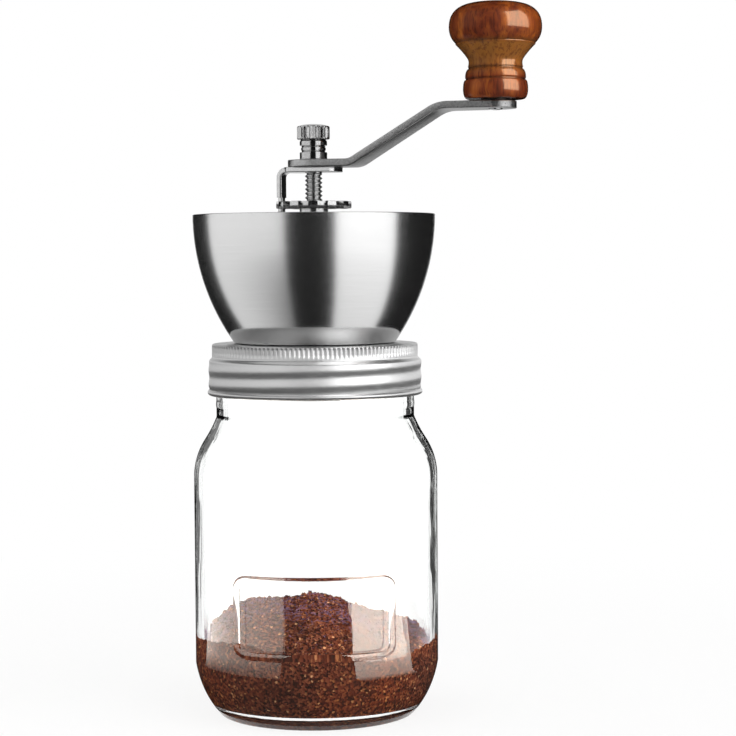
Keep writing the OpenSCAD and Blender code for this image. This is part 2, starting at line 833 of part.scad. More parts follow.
// A compression spring, one swept tube
module burr_spring() {
    sides = 8;
    per_turn = 14;
    steps = spring_turns * per_turn;
    points = [for (i = [0 : steps])
        let (a = 360 * i / per_turn, z = spring_low + (spring_high - spring_low) * i / steps)
        for (j = [0 : sides - 1])
            let (
                b = 360 * j / sides,
                r = spring_d / 2 + spring_wire_d / 2 * cos(b)
            )
            [r * cos(a), r * sin(a), z + spring_wire_d / 2 * sin(b)]];
    color("silver")
        polyhedron(points, swept_faces(steps + 1, sides));
}

// ---- Adjuster ----

module adjusting_disc() {
    color("silver")
        translate([0, 0, disc_z])
            difference() {
                cylinder(r = disc_r, h = disc_t);
                translate([0, 0, -tiny]) cylinder(r = spindle_bore_r, h = disc_t + 2 * tiny);
                for (i = [0 : notches - 1])
                    rotate([0, 0, crank_azimuth + 180 + i * 360 / notches])
                        translate([notch_r, -notch_w / 2, -tiny])
                            cube([notch_depth + 1, notch_w, disc_t + 2 * tiny]);
            }
}

module bearing_washer() {
    color("silver")
        translate([0, 0, washer_z])
            difference() {
                cylinder(d = bush_flange_d - 0.6, h = washer_t);
                translate([0, 0, -tiny]) cylinder(r = spindle_bore_r, h = washer_t + 2 * tiny);
            }
}

// ---- Spindle and what turns with it ----

module spindle() {
    color("silver")
        difference() {
            translate([0, 0, spindle_z]) cylinder(r = spindle_r, h = spindle_top - spindle_z);
            rotate([0, 0, crank_azimuth])
                for (side = [-1, 1]) {
                    translate([-spindle_d, side * (flats_w / 2 + spindle_r) - spindle_r, bracket_z])
                        cube([2 * spindle_d, spindle_d, spindle_top]);
                    translate([-spindle_d, side * (flats_w / 2 + spindle_r) - spindle_r,
                               spindle_z - 1])
                        cube([2 * spindle_d, spindle_d, driver_z + driver_t - spindle_z + 1]);
                }
        }
}

// A bent plate: its flat end is keyed to the spindle, its leg drops into a notch of the disc
module stop_bracket() {
    top = bracket_z + bracket_t / 2;
    mid_r = leg_inner_r + bracket_t / 2;
    path = concat(
        [[bracket_reach, top]],
        round_corner([bracket_reach, top], [-mid_r, top], [-mid_r, tongue_bottom],
                     bracket_bend_r, 6),
        [[-mid_r, tongue_bottom]]
    );
    color("silver")
        difference() {
            intersection() {
                along_crank(bracket_w) polygon(strip(path, bracket_t));
                rotate([0, 0, crank_azimuth]) {
                    translate([0, 0, bracket_z - 1]) cylinder(r = bracket_reach, h = 4);
                    translate([-2 * leg_outer_r, -bracket_leg_w / 2, tongue_bottom + tongue_h])
                        cube([2 * leg_outer_r, bracket_leg_w, arm_z]);
                    translate([-2 * leg_outer_r, -tongue_w / 2, tongue_bottom - 1])
                        cube([2 * leg_outer_r, tongue_w, tongue_h + 2]);
                }
            }
            rotate([0, 0, crank_azimuth])
                translate([0, 0, bracket_z - 2]) linear_extrude(6) keyed_bore();
        }
}

// A tapered strip with round ends, bent up between the hub and the pad
module crank_arm() {
    low = arm_z + arm_t / 2;
    corners = [
        [-2 * arm_hub_r, low],
        [arm_low_bend, low],
        [arm_high_bend, low + arm_rise],
        [arm_len + 2 * arm_pad_r, low + arm_rise]
    ];
    path = concat(
        [corners[0]],
        round_corner(corners[0], corners[1], corners[2], arm_low_bend_r),
        round_corner(corners[1], corners[2], corners[3], arm_high_bend_r),
        [corners[3]]
    );
    taper = asin((arm_hub_r - arm_pad_r) / arm_len);
    color("lightgray")
        difference() {
            intersection() {
                along_crank(2 * arm_hub_r + 2) polygon(strip(path, arm_t));
                rotate([0, 0, crank_azimuth])
                    translate([0, 0, arm_z - 1])
                        linear_extrude(arm_rise + arm_t + 2)
                            polygon(concat(
                                arc(0, 0, arm_hub_r, 90 - taper, 270 + taper, 24),
                                arc(arm_len, 0, arm_pad_r, taper - 90, 90 - taper, 20)
                            ));
            }
            rotate([0, 0, crank_azimuth]) {
                translate([0, 0, arm_z - 2]) linear_extrude(arm_t + 4) keyed_bore();
                translate([arm_len, 0, pad_z - 1]) cylinder(r = pin_r, h = arm_t + 2);
            }
        }
}

// A neck with a groove round it, under a fluted head with a low dome
module thumb_nut() {
    neck_r1 = nut_neck_d / 2;
    head_r = nut_head_d / 2;
    core_r = head_r - nut_flute_depth - 0.05;
    edge = 0.5;
    dome_z = nut_neck_h + nut_head_h;
    color("silver")
        translate([0, 0, nut_z])
            difference() {
                union() {
                    rotate_extrude()
                        polygon(concat(
                            [[0, 0], [neck_r1 - 0.3, 0], [neck_r1, 0.3]],
                            bend([neck_r1, 0.38 * nut_neck_h],
                                 [neck_r1 - 2 * nut_groove, 0.43 * nut_neck_h],
                                 [neck_r1 - nut_groove, 0.5 * nut_neck_h], 4),
                            bend([neck_r1 - nut_groove, 0.6 * nut_neck_h],
                                 [neck_r1 - 2 * nut_groove, 0.66 * nut_neck_h],
                                 [neck_r1, 0.71 * nut_neck_h], 4),
                            [[neck_r1, 0.92 * nut_neck_h],
                             [neck_r1 - nut_groove, nut_neck_h], [core_r, nut_neck_h]],
                            bend([core_r, dome_z], [head_r - 1.6, dome_z + nut_dome_h],
                                 [0, dome_z + nut_dome_h], 5)
                        ));
                    translate([0, 0, nut_neck_h + edge])
                        linear_extrude(nut_head_h - 2 * edge)
                            polygon([for (i = [0 : 2 * nut_flutes - 1])
                                let (
                                    r = head_r - (i % 2) * nut_flute_depth,
                                    a = 180 * i / nut_flutes
                                )
                                [r * cos(a), r * sin(a)]]);
                }
                translate([0, 0, -tiny])
                    cylinder(r = spindle_bore_r, h = spindle_top - nut_z + 0.5);
            }
}

module spring_seat() {
    color("silver")
        translate([0, 0, burr_top])
            difference() {
                cylinder(r = seat_r, h = seat_t);
                translate([0, 0, -tiny]) cylinder(r = spindle_bore_r, h = seat_t + 2 * tiny);
            }
}

// A hexagonal key plate in the burr's socket, driven by the spindle's flats
module burr_driver() {
    color("silver")
        translate([0, 0, driver_z])
            difference() {
                cylinder(r = driver_r, h = driver_t, $fn = 6);
                rotate([0, 0, crank_azimuth])
                    translate([0, 0, -1]) linear_extrude(driver_t + 2) keyed_bore();
            }
}

module burr_washer() {
    color("silver")
        translate([0, 0, burr_washer_z])
            difference() {
                cylinder(r = burr_nut_r + 0.8, h = burr_washer_t);
                translate([0, 0, -tiny]) cylinder(r = spindle_bore_r, h = burr_washer_t + 2 * tiny);
            }
}

module burr_nut() {
    color("silver")
        translate([0, 0, burr_nut_z])
            difference() {
                cylinder(r = burr_nut_r, h = burr_nut_h, $fn = 6);
                translate([0, 0, -tiny]) cylinder(r = spindle_bore_r, h = burr_nut_h + 2 * tiny);
            }
}

// ---- Knob ----

module at_knob() {
    rotate([0, 0, crank_azimuth]) translate([arm_len, 0, 0]) children();
}

module knob_pin() {
    color("silver")
        at_knob() {
            translate([0, 0, pad_z - rivet_h])
                rotate_extrude()
                    polygon(concat([[0, 0]], bend([0, 0], [rivet_r, 0], [rivet_r, rivet_h], 5),
                                   [[0, rivet_h]]));
            translate([0, 0, pad_z - tiny])
                cylinder(r = pin_r, h = knob_z - pad_z + knob_bush_h + 0.2);
        }
}

// The collar pressed on the pin's end, which keeps the knob on
module pin_head() {
    color("silver")
        at_knob()
            translate([0, 0, knob_z + knob_bush_h + 0.2 - tiny])
                cylinder(d = pin_head_d, h = pin_head_t);
}

module knob_washer() {
    color("dimgray")
        at_knob()
            translate([0, 0, knob_washer_z])
                difference() {
                    cylinder(r = 5, h = knob_washer_t);
                    translate([0, 0, -tiny]) cylinder(r = pin_r, h = knob_washer_t + 2 * tiny);
                }
}

// Turned in one piece: a foot with two cut rings, a waist and a mushroom head
function knob_outline() =
    let (
        foot = knob_foot_d / 2,
        waist = knob_waist_d / 2,
        head = knob_d / 2,
        cut = 0.5
    )
    concat(
        [[foot - 0.9, 0]],
        bend([foot - 0.9, 0], [foot - 0.3, 0.02 * knob_h], [foot, 0.09 * knob_h], 4),
        bend([foot, 0.09 * knob_h], [foot, 0.16 * knob_h], [foot - 0.4, 0.185 * knob_h], 3),
        [[foot - 0.4 - cut, 0.2 * knob_h], [foot - 0.6, 0.215 * knob_h]],
        bend([foot - 0.6, 0.22 * knob_h], [foot - 0.8, 0.27 * knob_h], [foot - 1.4, 0.3 * knob_h], 3),
        [[foot - 1.4 - cut, 0.315 * knob_h], [waist + 0.35, 0.33 * knob_h]],
        bend([waist + 0.3, 0.335 * knob_h], [waist - 0.1, 0.38 * knob_h], [waist + 0.5, 0.42 * knob_h], 4),
        bend([waist + 0.5, 0.42 * knob_h], [waist + 1.8, 0.475 * knob_h],
             [head - 2.6, 0.555 * knob_h], 5),
        [[head - 2.4, 0.575 * knob_h]],
        bend([head - 2, 0.58 * knob_h], [head, 0.645 * knob_h], [head, 0.74 * knob_h], 6),
        bend([head, 0.74 * knob_h], [head, 0.93 * knob_h], [0.6 * head, 0.975 * knob_h], 8),
        bend([0.6 * head, 0.975 * knob_h], [0.4 * head, knob_h], [0, knob_h], 5)
    );

module knob() {
    color("sienna")
        at_knob()
            translate([0, 0, knob_z])
                difference() {
                    rotate_extrude() polygon(concat([[0, 0]], knob_outline()));
                    translate([0, 0, -tiny]) cylinder(r = knob_bush_r, h = knob_bore_h);
                }
}

module knob_bush() {
    color("ivory")
        at_knob()
            translate([0, 0, knob_z])
                difference() {
                    cylinder(r = knob_bush_r, h = knob_bush_h);
                    translate([0, 0, -tiny])
                        cylinder(r = pin_r + running_fit, h = knob_bush_h + 2 * tiny);
                }
}

glass_jar();
ground_coffee();
screw_band();
burr_housing();
jar_seal();
outer_burr();
burr_retainer();
retainer_screws();
hopper_bowl();
centre_frame();
frame_screws();
upper_bush();
lower_bush();
burr_spring();
adjusting_disc();
bearing_washer();
spindle();
stop_bracket();
crank_arm();
thumb_nut();
spring_seat();
inner_burr();
burr_driver();
burr_washer();
burr_nut();
knob_pin();
pin_head();
knob_washer();
knob();
knob_bush();
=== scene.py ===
import math

import bmesh
import bpy
import numpy as np
from mathutils import Matrix, Vector, noise


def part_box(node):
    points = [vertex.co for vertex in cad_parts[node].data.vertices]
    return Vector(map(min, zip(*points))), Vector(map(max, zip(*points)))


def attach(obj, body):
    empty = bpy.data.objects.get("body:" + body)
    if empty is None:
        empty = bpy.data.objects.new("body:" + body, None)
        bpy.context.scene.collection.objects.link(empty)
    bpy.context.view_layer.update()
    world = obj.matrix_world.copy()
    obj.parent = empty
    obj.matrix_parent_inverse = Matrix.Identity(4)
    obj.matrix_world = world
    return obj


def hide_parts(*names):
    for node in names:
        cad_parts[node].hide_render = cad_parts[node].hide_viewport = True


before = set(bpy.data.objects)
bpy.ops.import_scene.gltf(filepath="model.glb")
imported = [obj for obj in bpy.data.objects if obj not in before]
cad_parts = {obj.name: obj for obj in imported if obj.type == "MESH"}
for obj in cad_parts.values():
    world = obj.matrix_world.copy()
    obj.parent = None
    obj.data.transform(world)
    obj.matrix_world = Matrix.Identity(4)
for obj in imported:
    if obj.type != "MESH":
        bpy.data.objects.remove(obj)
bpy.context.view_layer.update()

MM = 0.001
AXIS_GAP = 0.02    # a turned form's rings stop this far from the axis, and a cap closes them
chance = np.random.RandomState(11)


def span(node):
    """The lowest and highest corners of a CAD node, in millimetres."""
    low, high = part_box(node)
    return np.array(low) / MM, np.array(high) / MM


# ---- Sizes, in millimetres: from the frame where a node's box gives them ----

JAR_HIGH = span("glass_jar")[1]
JAR_R, JAR_H = JAR_HIGH[0] - 0.03, JAR_HIGH[2]
FOOT_R, FOOT_W = 34.4, 2.4
DIMPLE_H, HEEL_H = 2.6, 18
HEAP_H = 40    # the ground coffee's height
NECK_R, NECK_Z, MOUTH_R = 34.7, 104.4, 31.5
SHOULDER_Z = 83.4
SHOULDER_H = NECK_Z - SHOULDER_Z
CAVITY_HEEL = HEEL_H + 2
CAVITY_R, CAVITY_Z, CAVITY_LOW = 39.8, 7.0, 4.2
RING_Z, RING_H, RING_PROUD = 108.8, 2.4, 0.13
LABEL_W, LABEL_H, LABEL_Z = 54.8, 28.0, 25.1
LABEL_CORNER, LABEL_RIDGE, LABEL_PROUD = 4.6, 2.3, 0.55
LABEL_ARC = 46    # degrees each side of the front where the glass has finer faces
THREAD_PITCH, THREAD_Z, THREAD_H, THREAD_W = 5.08, 118.1, 1.5, 2.4

BAND_LOW, BAND_HIGH = span("screw_band")
BAND_Z, BAND_TOP, BEAD_R = BAND_LOW[2], BAND_HIGH[2], BAND_HIGH[0]
BEAD_H = 2
ROLL_R, ROLL_H = BEAD_R - 0.35, 1.3
COLLAR_R, KNURL_Z, KNURL_DEPTH, KNURLS = 36.1, 126.0, 0.4, 140
BAND_OPEN_R, BAND_SHEET = 26.4, 0.5

BOWL_LOW, BOWL_HIGH = span("hopper_bowl")
BOWL_Z, BOWL_RIM, BOWL_R = BOWL_LOW[2], BOWL_HIGH[2], BOWL_HIGH[0]
BOWL_FOOT_R, BOWL_SHEET, THROAT_R = 28.2, 0.6, 18.6

DISC_LOW, DISC_HIGH = span("adjusting_disc")
DISC_Z, DISC_TOP, DISC_R = DISC_LOW[2], DISC_HIGH[2], 13.2
NOTCHES, NOTCH_W, NOTCH_R = 12, 3.6, 10.3

AZIMUTH = math.radians(-15)    # where the arm points at rest
ARM_Z = span("crank_arm")[0][2]
ARM_T, ARM_LEN, ARM_RISE = 2.5, 64.9, 18.9
ARM_BENDS, ARM_BEND_R = (15.2, 46.2), (6, 12)
HUB_R, PAD_R = 9.0, 7.2
BRACKET_T, BRACKET_REACH, BRACKET_W, BRACKET_BEND_R = 1.8, 10.2, 13.0, 2.6
BRACKET_Z = ARM_Z - BRACKET_T / 2    # middle of the plate that the arm lies on
LEG_MID, LEG_W, TONGUE_W = 11.8, 6.0, 3.2
TONGUE_LOW, TONGUE_SHOULDER = span("stop_bracket")[0][2], 180.9

NUT_Z = span("thumb_nut")[0][2]
SPINDLE_LOW, SPINDLE_HIGH = span("spindle")
SPINDLE_R, SPINDLE_PITCH = 3.0, 1.5
FLAT_HALF, BURR_FLAT_TOP = 2.4, 118.6    # half the width over the flats, and where the burr's flats end

KNOB_LOW, KNOB_HIGH = span("knob")
KNOB_X, KNOB_Y = (KNOB_LOW[:2] + KNOB_HIGH[:2]) / 2
KNOB_Z, KNOB_H = KNOB_LOW[2], KNOB_HIGH[2] - KNOB_LOW[2]


# ---- Curves and meshes ----

def bend(a, b, c, n):
    """Points of the curve that leaves a towards b and reaches c from b."""
    t = np.linspace(0, 1, n + 1)[:, None]
    a, b, c = (np.array(p, float) for p in (a, b, c))
    return (1 - t) ** 2 * a + 2 * t * (1 - t) * b + t * t * c


def line(a, b, n=1):
    return np.linspace(a, b, n + 1)


def arc(x, y, r, start, end, n):
    """Points round (x, y) at the distance r, from one angle to another in degrees."""
    t = np.radians(np.linspace(start, end, n + 1))
    return np.column_stack([x + r * np.cos(t), y + r * np.sin(t)])


def join(*curves):
    """One curve from several, without the points that repeat where they meet."""
    points = np.vstack([np.atleast_2d(c) for c in curves])
    keep = np.r_[True, np.linalg.norm(np.diff(points, axis=0), axis=1) > 1e-4]
    return points[keep]


def smooth(t):
    t = np.clip(t, 0, 1)
    return t * t * (3 - 2 * t)


def turned(profile, angles, radius=None):
    """Rings of a profile, points of (radius, height), turned round Z. radius(r, z, angle) may reshape it."""
    r, z = profile[:, 0][:, None], profile[:, 1][:, None]
    a = np.asarray(angles)[None, :]
    r = radius(r, z, a) if radius else r + 0 * a
    return np.stack([r * np.cos(a), r * np.sin(a), z + 0 * a], -1)


def ring(r, angles, z):
    """Points round Z at the radius r and the height z."""
    return np.column_stack([r * np.cos(angles), r * np.sin(angles), z + 0 * angles])


def round_angles(n):
    return np.linspace(0, 2 * math.pi, n, endpoint=False)


def ring_faces(rings, wrap=False):
    """Quads between rings that each close on themselves. The ends are capped unless the rings wrap."""
    rows, count = rings.shape[:2]
    i = np.arange(rows if wrap else rows - 1)[:, None]
    j = np.arange(count)[None, :]
    a, b, k = i * count, (i + 1) % rows * count, (j + 1) % count
    faces = np.stack([a + j, a + k, b + k, b + j], -1).reshape(-1, 4).tolist()
    if not wrap:
        faces.append(list(range(count))[::-1])
        faces.append(list(range((rows - 1) * count, rows * count)))
    return faces


def show(thing):
    bpy.context.scene.collection.objects.link(thing)
    return thing


def make(name, rings, body, finish, nodes=(), wrap=False, sharp=35, faces=None):
    """A piece from rings of points in millimetres. It rides on body and stands for nodes."""
    mesh = bpy.data.meshes.new(name)
    points = np.asarray(rings, float).reshape(-1, 3) * MM
    mesh.from_pydata(points.tolist(), [], faces or ring_faces(np.asarray(rings), wrap))
    form = bmesh.new()
    form.from_mesh(mesh)
    bmesh.ops.recalc_face_normals(form, faces=form.faces[:])
    form.to_mesh(mesh)
    form.free()
    mesh.shade_smooth()
    mesh.set_sharp_from_angle(angle=math.radians(sharp))
    mesh.materials.append(finish)
    piece = show(bpy.data.objects.new(name, mesh))
    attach(piece, body)
    if nodes:
        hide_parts(*nodes)
    return piece


def rotated(x, y, angle):
    c, s = math.cos(angle), math.sin(angle)
    return x * c - y * s, x * s + y * c


def crank_frame(u, v, z):
    """Points given along the arm, across it and up, in the row frame."""
    return np.stack([*rotated(u, v, AZIMUTH), z + 0 * u], -1)


# ---- Materials ----

def colour(code):
    """Linear red, green, blue and alpha of an sRGB hex code."""
    parts = [int(code[i:i + 2], 16) / 255 for i in (0, 2, 4)]
    return (*[p / 12.92 if p <= 0.04045 else ((p + 0.055) / 1.055) ** 2.4 for p in parts], 1)


class Finish:
    """A node material under construction: its Principled shader and short ways to add nodes."""

    def __init__(self, name, **constants):
        self.material = bpy.data.materials.new(name)
        self.material.use_nodes = True
        self.tree = self.material.node_tree
        self.shader = self.tree.nodes["Principled BSDF"]
        for key, value in constants.items():
            self.shader.inputs[key.replace("_", " ")].default_value = value

    def add(self, kind, inputs=None, **settings):
        node = self.tree.nodes.new("ShaderNode" + kind)
        for key, value in settings.items():
            setattr(node, key, value)
        for key, value in (inputs or {}).items():
            if isinstance(value, bpy.types.NodeSocket):
                self.tree.links.new(value, node.inputs[key])
            else:
                node.inputs[key].default_value = value
        return node

    def set(self, key, value):
        self.tree.links.new(value, self.shader.inputs[key])

    def place(self, scale=(1, 1, 1), shift=(0, 0, 0)):
        """Object coordinates, shifted by millimetres and then scaled."""
        where = self.add("TexCoord").outputs["Object"]
        moved = self.add("VectorMath", {0: where, 1: [-s * MM for s in shift]}, operation="ADD")
        return self.add("VectorMath", {0: moved.outputs[0], 1: scale}, operation="MULTIPLY").outputs[0]

    def noise(self, where, scale, detail=4, roughness=0.55, distortion=0):
        return self.add("TexNoise", {"Vector": where, "Scale": scale, "Detail": detail,
                                     "Roughness": roughness, "Distortion": distortion}).outputs["Fac"]

    def ramp(self, value, stops):
        node = self.add("ValToRGB", {"Fac": value})
        elements = node.color_ramp.elements
        elements.remove(elements[1])
        elements[0].position, elements[0].color = stops[0]
        for position, shade in stops[1:]:
            elements.new(position).color = shade
        return node.outputs["Color"]

    def range(self, value, low, high, start=0.0, end=1.0):
        """value's way from start to end, as a way from low to high."""
        return self.add("MapRange", {"Value": value, "From Min": start, "From Max": end,
                                     "To Min": low, "To Max": high}).outputs["Result"]

    def mix(self, amount, a, b, how="MIX"):
        return self.add("Mix", {0: amount, 6: a, 7: b}, data_type="RGBA", blend_type=how).outputs[2]

    def times(self, a, b):
        return self.mix(1.0, a, b, "MULTIPLY")

    def facing(self):
        """0 where the surface is seen straight on, 1 where it is seen edge on."""
        return self.add("LayerWeight", {"Blend": 0.5}).outputs["Facing"]

    def up(self, vector):
        return self.add("SeparateXYZ", {"Vector": vector}).outputs["Z"]

    def surface(self, shader):
        self.tree.links.new(shader, self.tree.nodes["Material Output"].inputs["Surface"])

    def bump(self, height, strength, distance):
        node = self.add("Bump", {"Height": height, "Strength": strength, "Distance": distance})
        self.set("Normal", node.outputs["Normal"])


def grey(value):
    return (value, value, value, 1)


def clear_glass():
    """Clear glass with painted shade that greys it where it is seen edge on, and uneven as moulded glass is.
    """
    f = Finish("clear_glass", Base_Color=(0.97, 0.985, 0.98, 1), Roughness=0.0, IOR=1.5,
               Transmission_Weight=1.0)
    # painted shade: the glass's colour darkens where it is seen edge on
    f.set("Base Color", f.ramp(f.facing(), [(0.0, (0.99, 0.995, 0.99, 1)), (0.76, (0.97, 0.98, 0.975, 1)),
                                            (0.92, (0.76, 0.78, 0.78, 1)), (1.0, (0.5, 0.52, 0.52, 1))]))
    broad = f.noise(f.place((1, 1, 0.35)), 60, 2)
    streaks = f.noise(f.place((1, 1, 0.12)), 260, 1, 0.5, 0.6)
    wave = f.add("Math", {0: streaks, 1: 0.16, 2: broad}, operation="MULTIPLY_ADD")
    f.bump(wave.outputs[0], 0.1, 0.003)
    return f.material


def ground_beans():
    """Specks of many browns, with painted shade low in the jar, painted light near the top of the heap,
    painted warm light, and a painted cool sheen where the top is seen edge on.
    """
    f = Finish("ground_beans", Roughness=0.8, Specular_IOR_Level=0.25)
    where = f.place()
    cells = f.add("TexVoronoi", {"Vector": where, "Scale": 1450.0})
    each = f.add("SeparateColor", {"Color": cells.outputs["Color"]}).outputs["Red"]
    speck = f.ramp(each, [(0.0, colour("1c0c07")), (0.3, colour("3a180e")), (0.62, colour("5e2f1f")),
                          (0.9, colour("77442e")), (0.98, colour("92603f")), (1.0, colour("c89a70"))])
    broad = f.ramp(f.noise(where, 90, 3), [(0.3, (0.72, 0.7, 0.7, 1)), (0.7, (1.2, 1.14, 1.08, 1))])
    # painted warm light: a broad orange brightening spread by noise
    painted_warm_light = f.ramp(f.noise(f.place((1, 1, 1), (24, -20, 10)), 22, 1),
                  [(0.4, grey(1.0)), (0.65, (1.4, 1.15, 0.8, 1))])
    # painted sheen: a cool violet mixed into the colour where the upward-facing top is seen edge on
    painted_sheen = f.ramp(f.facing(), [(0.5, grey(0.0)), (0.9, grey(0.75))])
    up = f.up(f.add("TexCoord").outputs["Normal"])
    painted_sheen = f.times(painted_sheen, f.ramp(up, [(0.1, grey(0.0)), (0.6, grey(1.0))]))
    toned = f.times(f.times(speck, broad), painted_warm_light)
    # painted shade low in the jar and painted light near the top of the heap
    level = f.range(f.up(where), 0.0, 1.0, 0.0, HEAP_H * MM)
    toned = f.times(toned, f.ramp(level, [(0.1, grey(0.7)), (0.5, grey(0.88)), (0.75, grey(1.34))]))
    f.set("Base Color", f.mix(painted_sheen, toned, colour("6e5a88")))
    lumps = f.add("Math", {0: cells.outputs["Distance"], 1: f.noise(where, 480, 3)}, operation="SUBTRACT")
    f.bump(lumps.outputs[0], 0.8, 0.0005)
    return f.material


def metal(name, base, rough, scale, spread, bump, streak=(1, 1, 1), turned_grain=0.0, low=0.86, high=1.08):
    """A metal whose grain of that scale varies its roughness by spread and its shade from low to high.
    streak squeezes the grain along its long directions, and turned_grain smears the gloss round Z."""
    f = Finish(name, Metallic=1.0, Roughness=rough, Base_Color=base)
    if turned_grain:
        f.shader.inputs["Anisotropic"].default_value = turned_grain
        f.set("Tangent", f.add("Tangent", direction_type="RADIAL", axis="Z").outputs["Tangent"])
    grain = f.noise(f.place(streak), scale, 5, 0.6)
    f.set("Roughness", f.range(grain, rough - spread, rough + spread, 0.25, 0.75))
    tint = f.ramp(grain, [(0.3, grey(low)), (0.7, grey(high))])
    f.set("Base Color", f.times(base, tint))
    f.bump(grain, bump, 0.0002)
    return f.material


def plastic(name, base, rough):
    """A moulded plastic or rubber with a fine grain and soft patches."""
    f = Finish(name, Base_Color=base, Roughness=rough)
    where = f.place()
    fine = f.noise(where, 700, 3)
    f.set("Roughness", f.range(fine, rough - 0.07, rough + 0.07, 0.3, 0.7))
    patches = f.ramp(f.noise(where, 90, 2), [(0.3, grey(0.9)), (0.7, grey(1.06))])
    f.set("Base Color", f.times(base, patches))
    f.bump(fine, 0.05, 0.0003)
    return f.material


def varnished_wood():
    """Red brown wood under a clear coat: paler round the waist, with painted shade at the rim and in the
    turned grooves.
    """
    f = Finish("varnished_wood", Roughness=0.5, Specular_IOR_Level=0.2, Coat_Weight=1.0,
               Coat_Roughness=0.14, Coat_IOR=1.5)
    place = (KNOB_X, KNOB_Y, KNOB_Z)
    broad = f.noise(f.place((1, 1, 0.3), place), 130, 4, 0.55, 1.4)
    fine = f.noise(f.place((1, 1, 0.06), place), 1300, 4, 0.6, 0.4)
    body = f.ramp(broad, [(0.25, colour("421202")), (0.42, colour("622404")), (0.58, colour("823c05")),
                          (0.75, colour("a65a0c"))])
    share = f.range(f.up(f.place((1, 1, 1), place)), 0.0, 1.0, 0.0, KNOB_H * MM)
    pale = f.ramp(share, [(0.22, grey(0.0)), (0.36, grey(0.6)), (0.54, grey(0.7)), (0.61, grey(0.0))])
    body = f.mix(pale, body, colour("8c5c1e"))
    pores = f.ramp(fine, [(0.38, colour("6a3816")), (0.5, grey(1.0))])
    body = f.mix(0.55, body, f.times(body, pores))
    # painted shade: the wood darkens towards its rim, where it is seen edge on
    painted_rim_shade = f.ramp(f.facing(), [(0.55, grey(1.0)), (0.8, grey(0.72)), (0.97, grey(0.28))])
    # painted shade: dark bands at the heights of the turned grooves
    grooves = f.ramp(share, [
        (0.18, grey(1.0)), (0.2, grey(0.4)), (0.222, grey(1.0)), (0.295, grey(1.0)), (0.318, grey(0.45)),
        (0.345, grey(1.0)), (0.56, grey(1.0)), (0.575, grey(0.55)), (0.61, grey(1.0))])
    f.set("Base Color", f.times(f.times(body, painted_rim_shade), grooves))
    f.bump(fine, 0.08, 0.0003)
    return f.material


GLASS = clear_glass()
COFFEE = ground_beans()
ALUMINIUM = metal("band_aluminium", grey(0.66), 0.36, scale=260, spread=0.05, bump=0.02,
                  streak=(1, 1, 5), turned_grain=0.4, low=0.95, high=1.04)
SPUN_STEEL = metal("brushed_stainless", grey(0.68), 0.17, scale=260, spread=0.03, bump=0.015,
                   streak=(0.2, 0.2, 30), turned_grain=0.65, low=0.955, high=1.035)
ARM_STEEL = metal("brushed_arm", grey(0.37), 0.34, scale=1500, spread=0.1, bump=0.16, low=0.7, high=1.3)
CHROME = metal("chrome_plate", grey(0.46), 0.13, scale=400, spread=0.03, bump=0.01)
NICKEL = metal("nickel_plate", grey(0.6), 0.18, scale=700, spread=0.06, bump=0.03)
BURR_STEEL = metal("burr_steel", grey(0.34), 0.38, scale=1300, spread=0.08, bump=0.1)
SCREW_STEEL = metal("screw_steel", grey(0.6), 0.22, scale=900, spread=0.06, bump=0.04)
SPRING_STEEL = metal("spring_steel", grey(0.55), 0.28, scale=900, spread=0.06, bump=0.04)
ZINC = metal("cast_zinc", grey(0.52), 0.42, scale=650, spread=0.08, bump=0.25)
BLACK_NYLON = plastic("black_nylon", colour("17181a"), 0.48)
WHITE_NYLON = plastic("white_nylon", colour("e6e2d8"), 0.45)
SEAL = plastic("white_seal", colour("dfe0dc"), 0.6)
DARK_WASHER = plastic("dark_washer", colour("1c1b1a"), 0.5)
WOOD = varnished_wood()

CARRIED = {
    "burr_housing": BLACK_NYLON, "burr_retainer": BLACK_NYLON, "jar_seal": SEAL,
    "outer_burr": BURR_STEEL, "inner_burr": BURR_STEEL,
    "retainer_screws": SCREW_STEEL, "frame_screws": SCREW_STEEL, "burr_nut": SCREW_STEEL,
    "burr_driver": SCREW_STEEL, "burr_washer": SCREW_STEEL, "spring_seat": SCREW_STEEL,
    "knob_pin": SCREW_STEEL, "pin_head": SCREW_STEEL, "bearing_washer": NICKEL,
    "centre_frame": ZINC, "upper_bush": WHITE_NYLON, "lower_bush": WHITE_NYLON,
    "knob_bush": WHITE_NYLON, "burr_spring": SPRING_STEEL, "knob_washer": DARK_WASHER,
}
for node, finish in CARRIED.items():
    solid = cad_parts[node]
    if not solid.material_slots:
        solid.data.materials.append(finish)
    for held in solid.material_slots:
        held.material = finish


# ---- Jar ----

def cavity(inset=0.0):
    """The inside of the jar from the middle of its floor up to the neck, drawn in by inset."""
    floor, low, r = CAVITY_Z + inset, CAVITY_LOW + inset, CAVITY_R - inset
    step = CAVITY_R - MOUTH_R
    shoulder_r, shoulder_z = MOUTH_R + 0.48 * step - inset, SHOULDER_Z + 0.62 * SHOULDER_H
    return join(
        bend([AXIS_GAP, floor], [0.55 * FOOT_R, floor], [FOOT_R - 4, low], 14),
        bend([FOOT_R - 4, low], [r - 1.4, low + 1], [r, CAVITY_HEEL], 22),
        line([r, CAVITY_HEEL], [r, SHOULDER_Z - 1], 12),
        bend([r, SHOULDER_Z - 1], [r, SHOULDER_Z + 0.3 * SHOULDER_H], [shoulder_r, shoulder_z], 12),
        bend([shoulder_r, shoulder_z], [MOUTH_R + 0.16 * step - inset, SHOULDER_Z + 0.84 * SHOULDER_H],
             [MOUTH_R - inset, NECK_Z + 1], 12),
    )


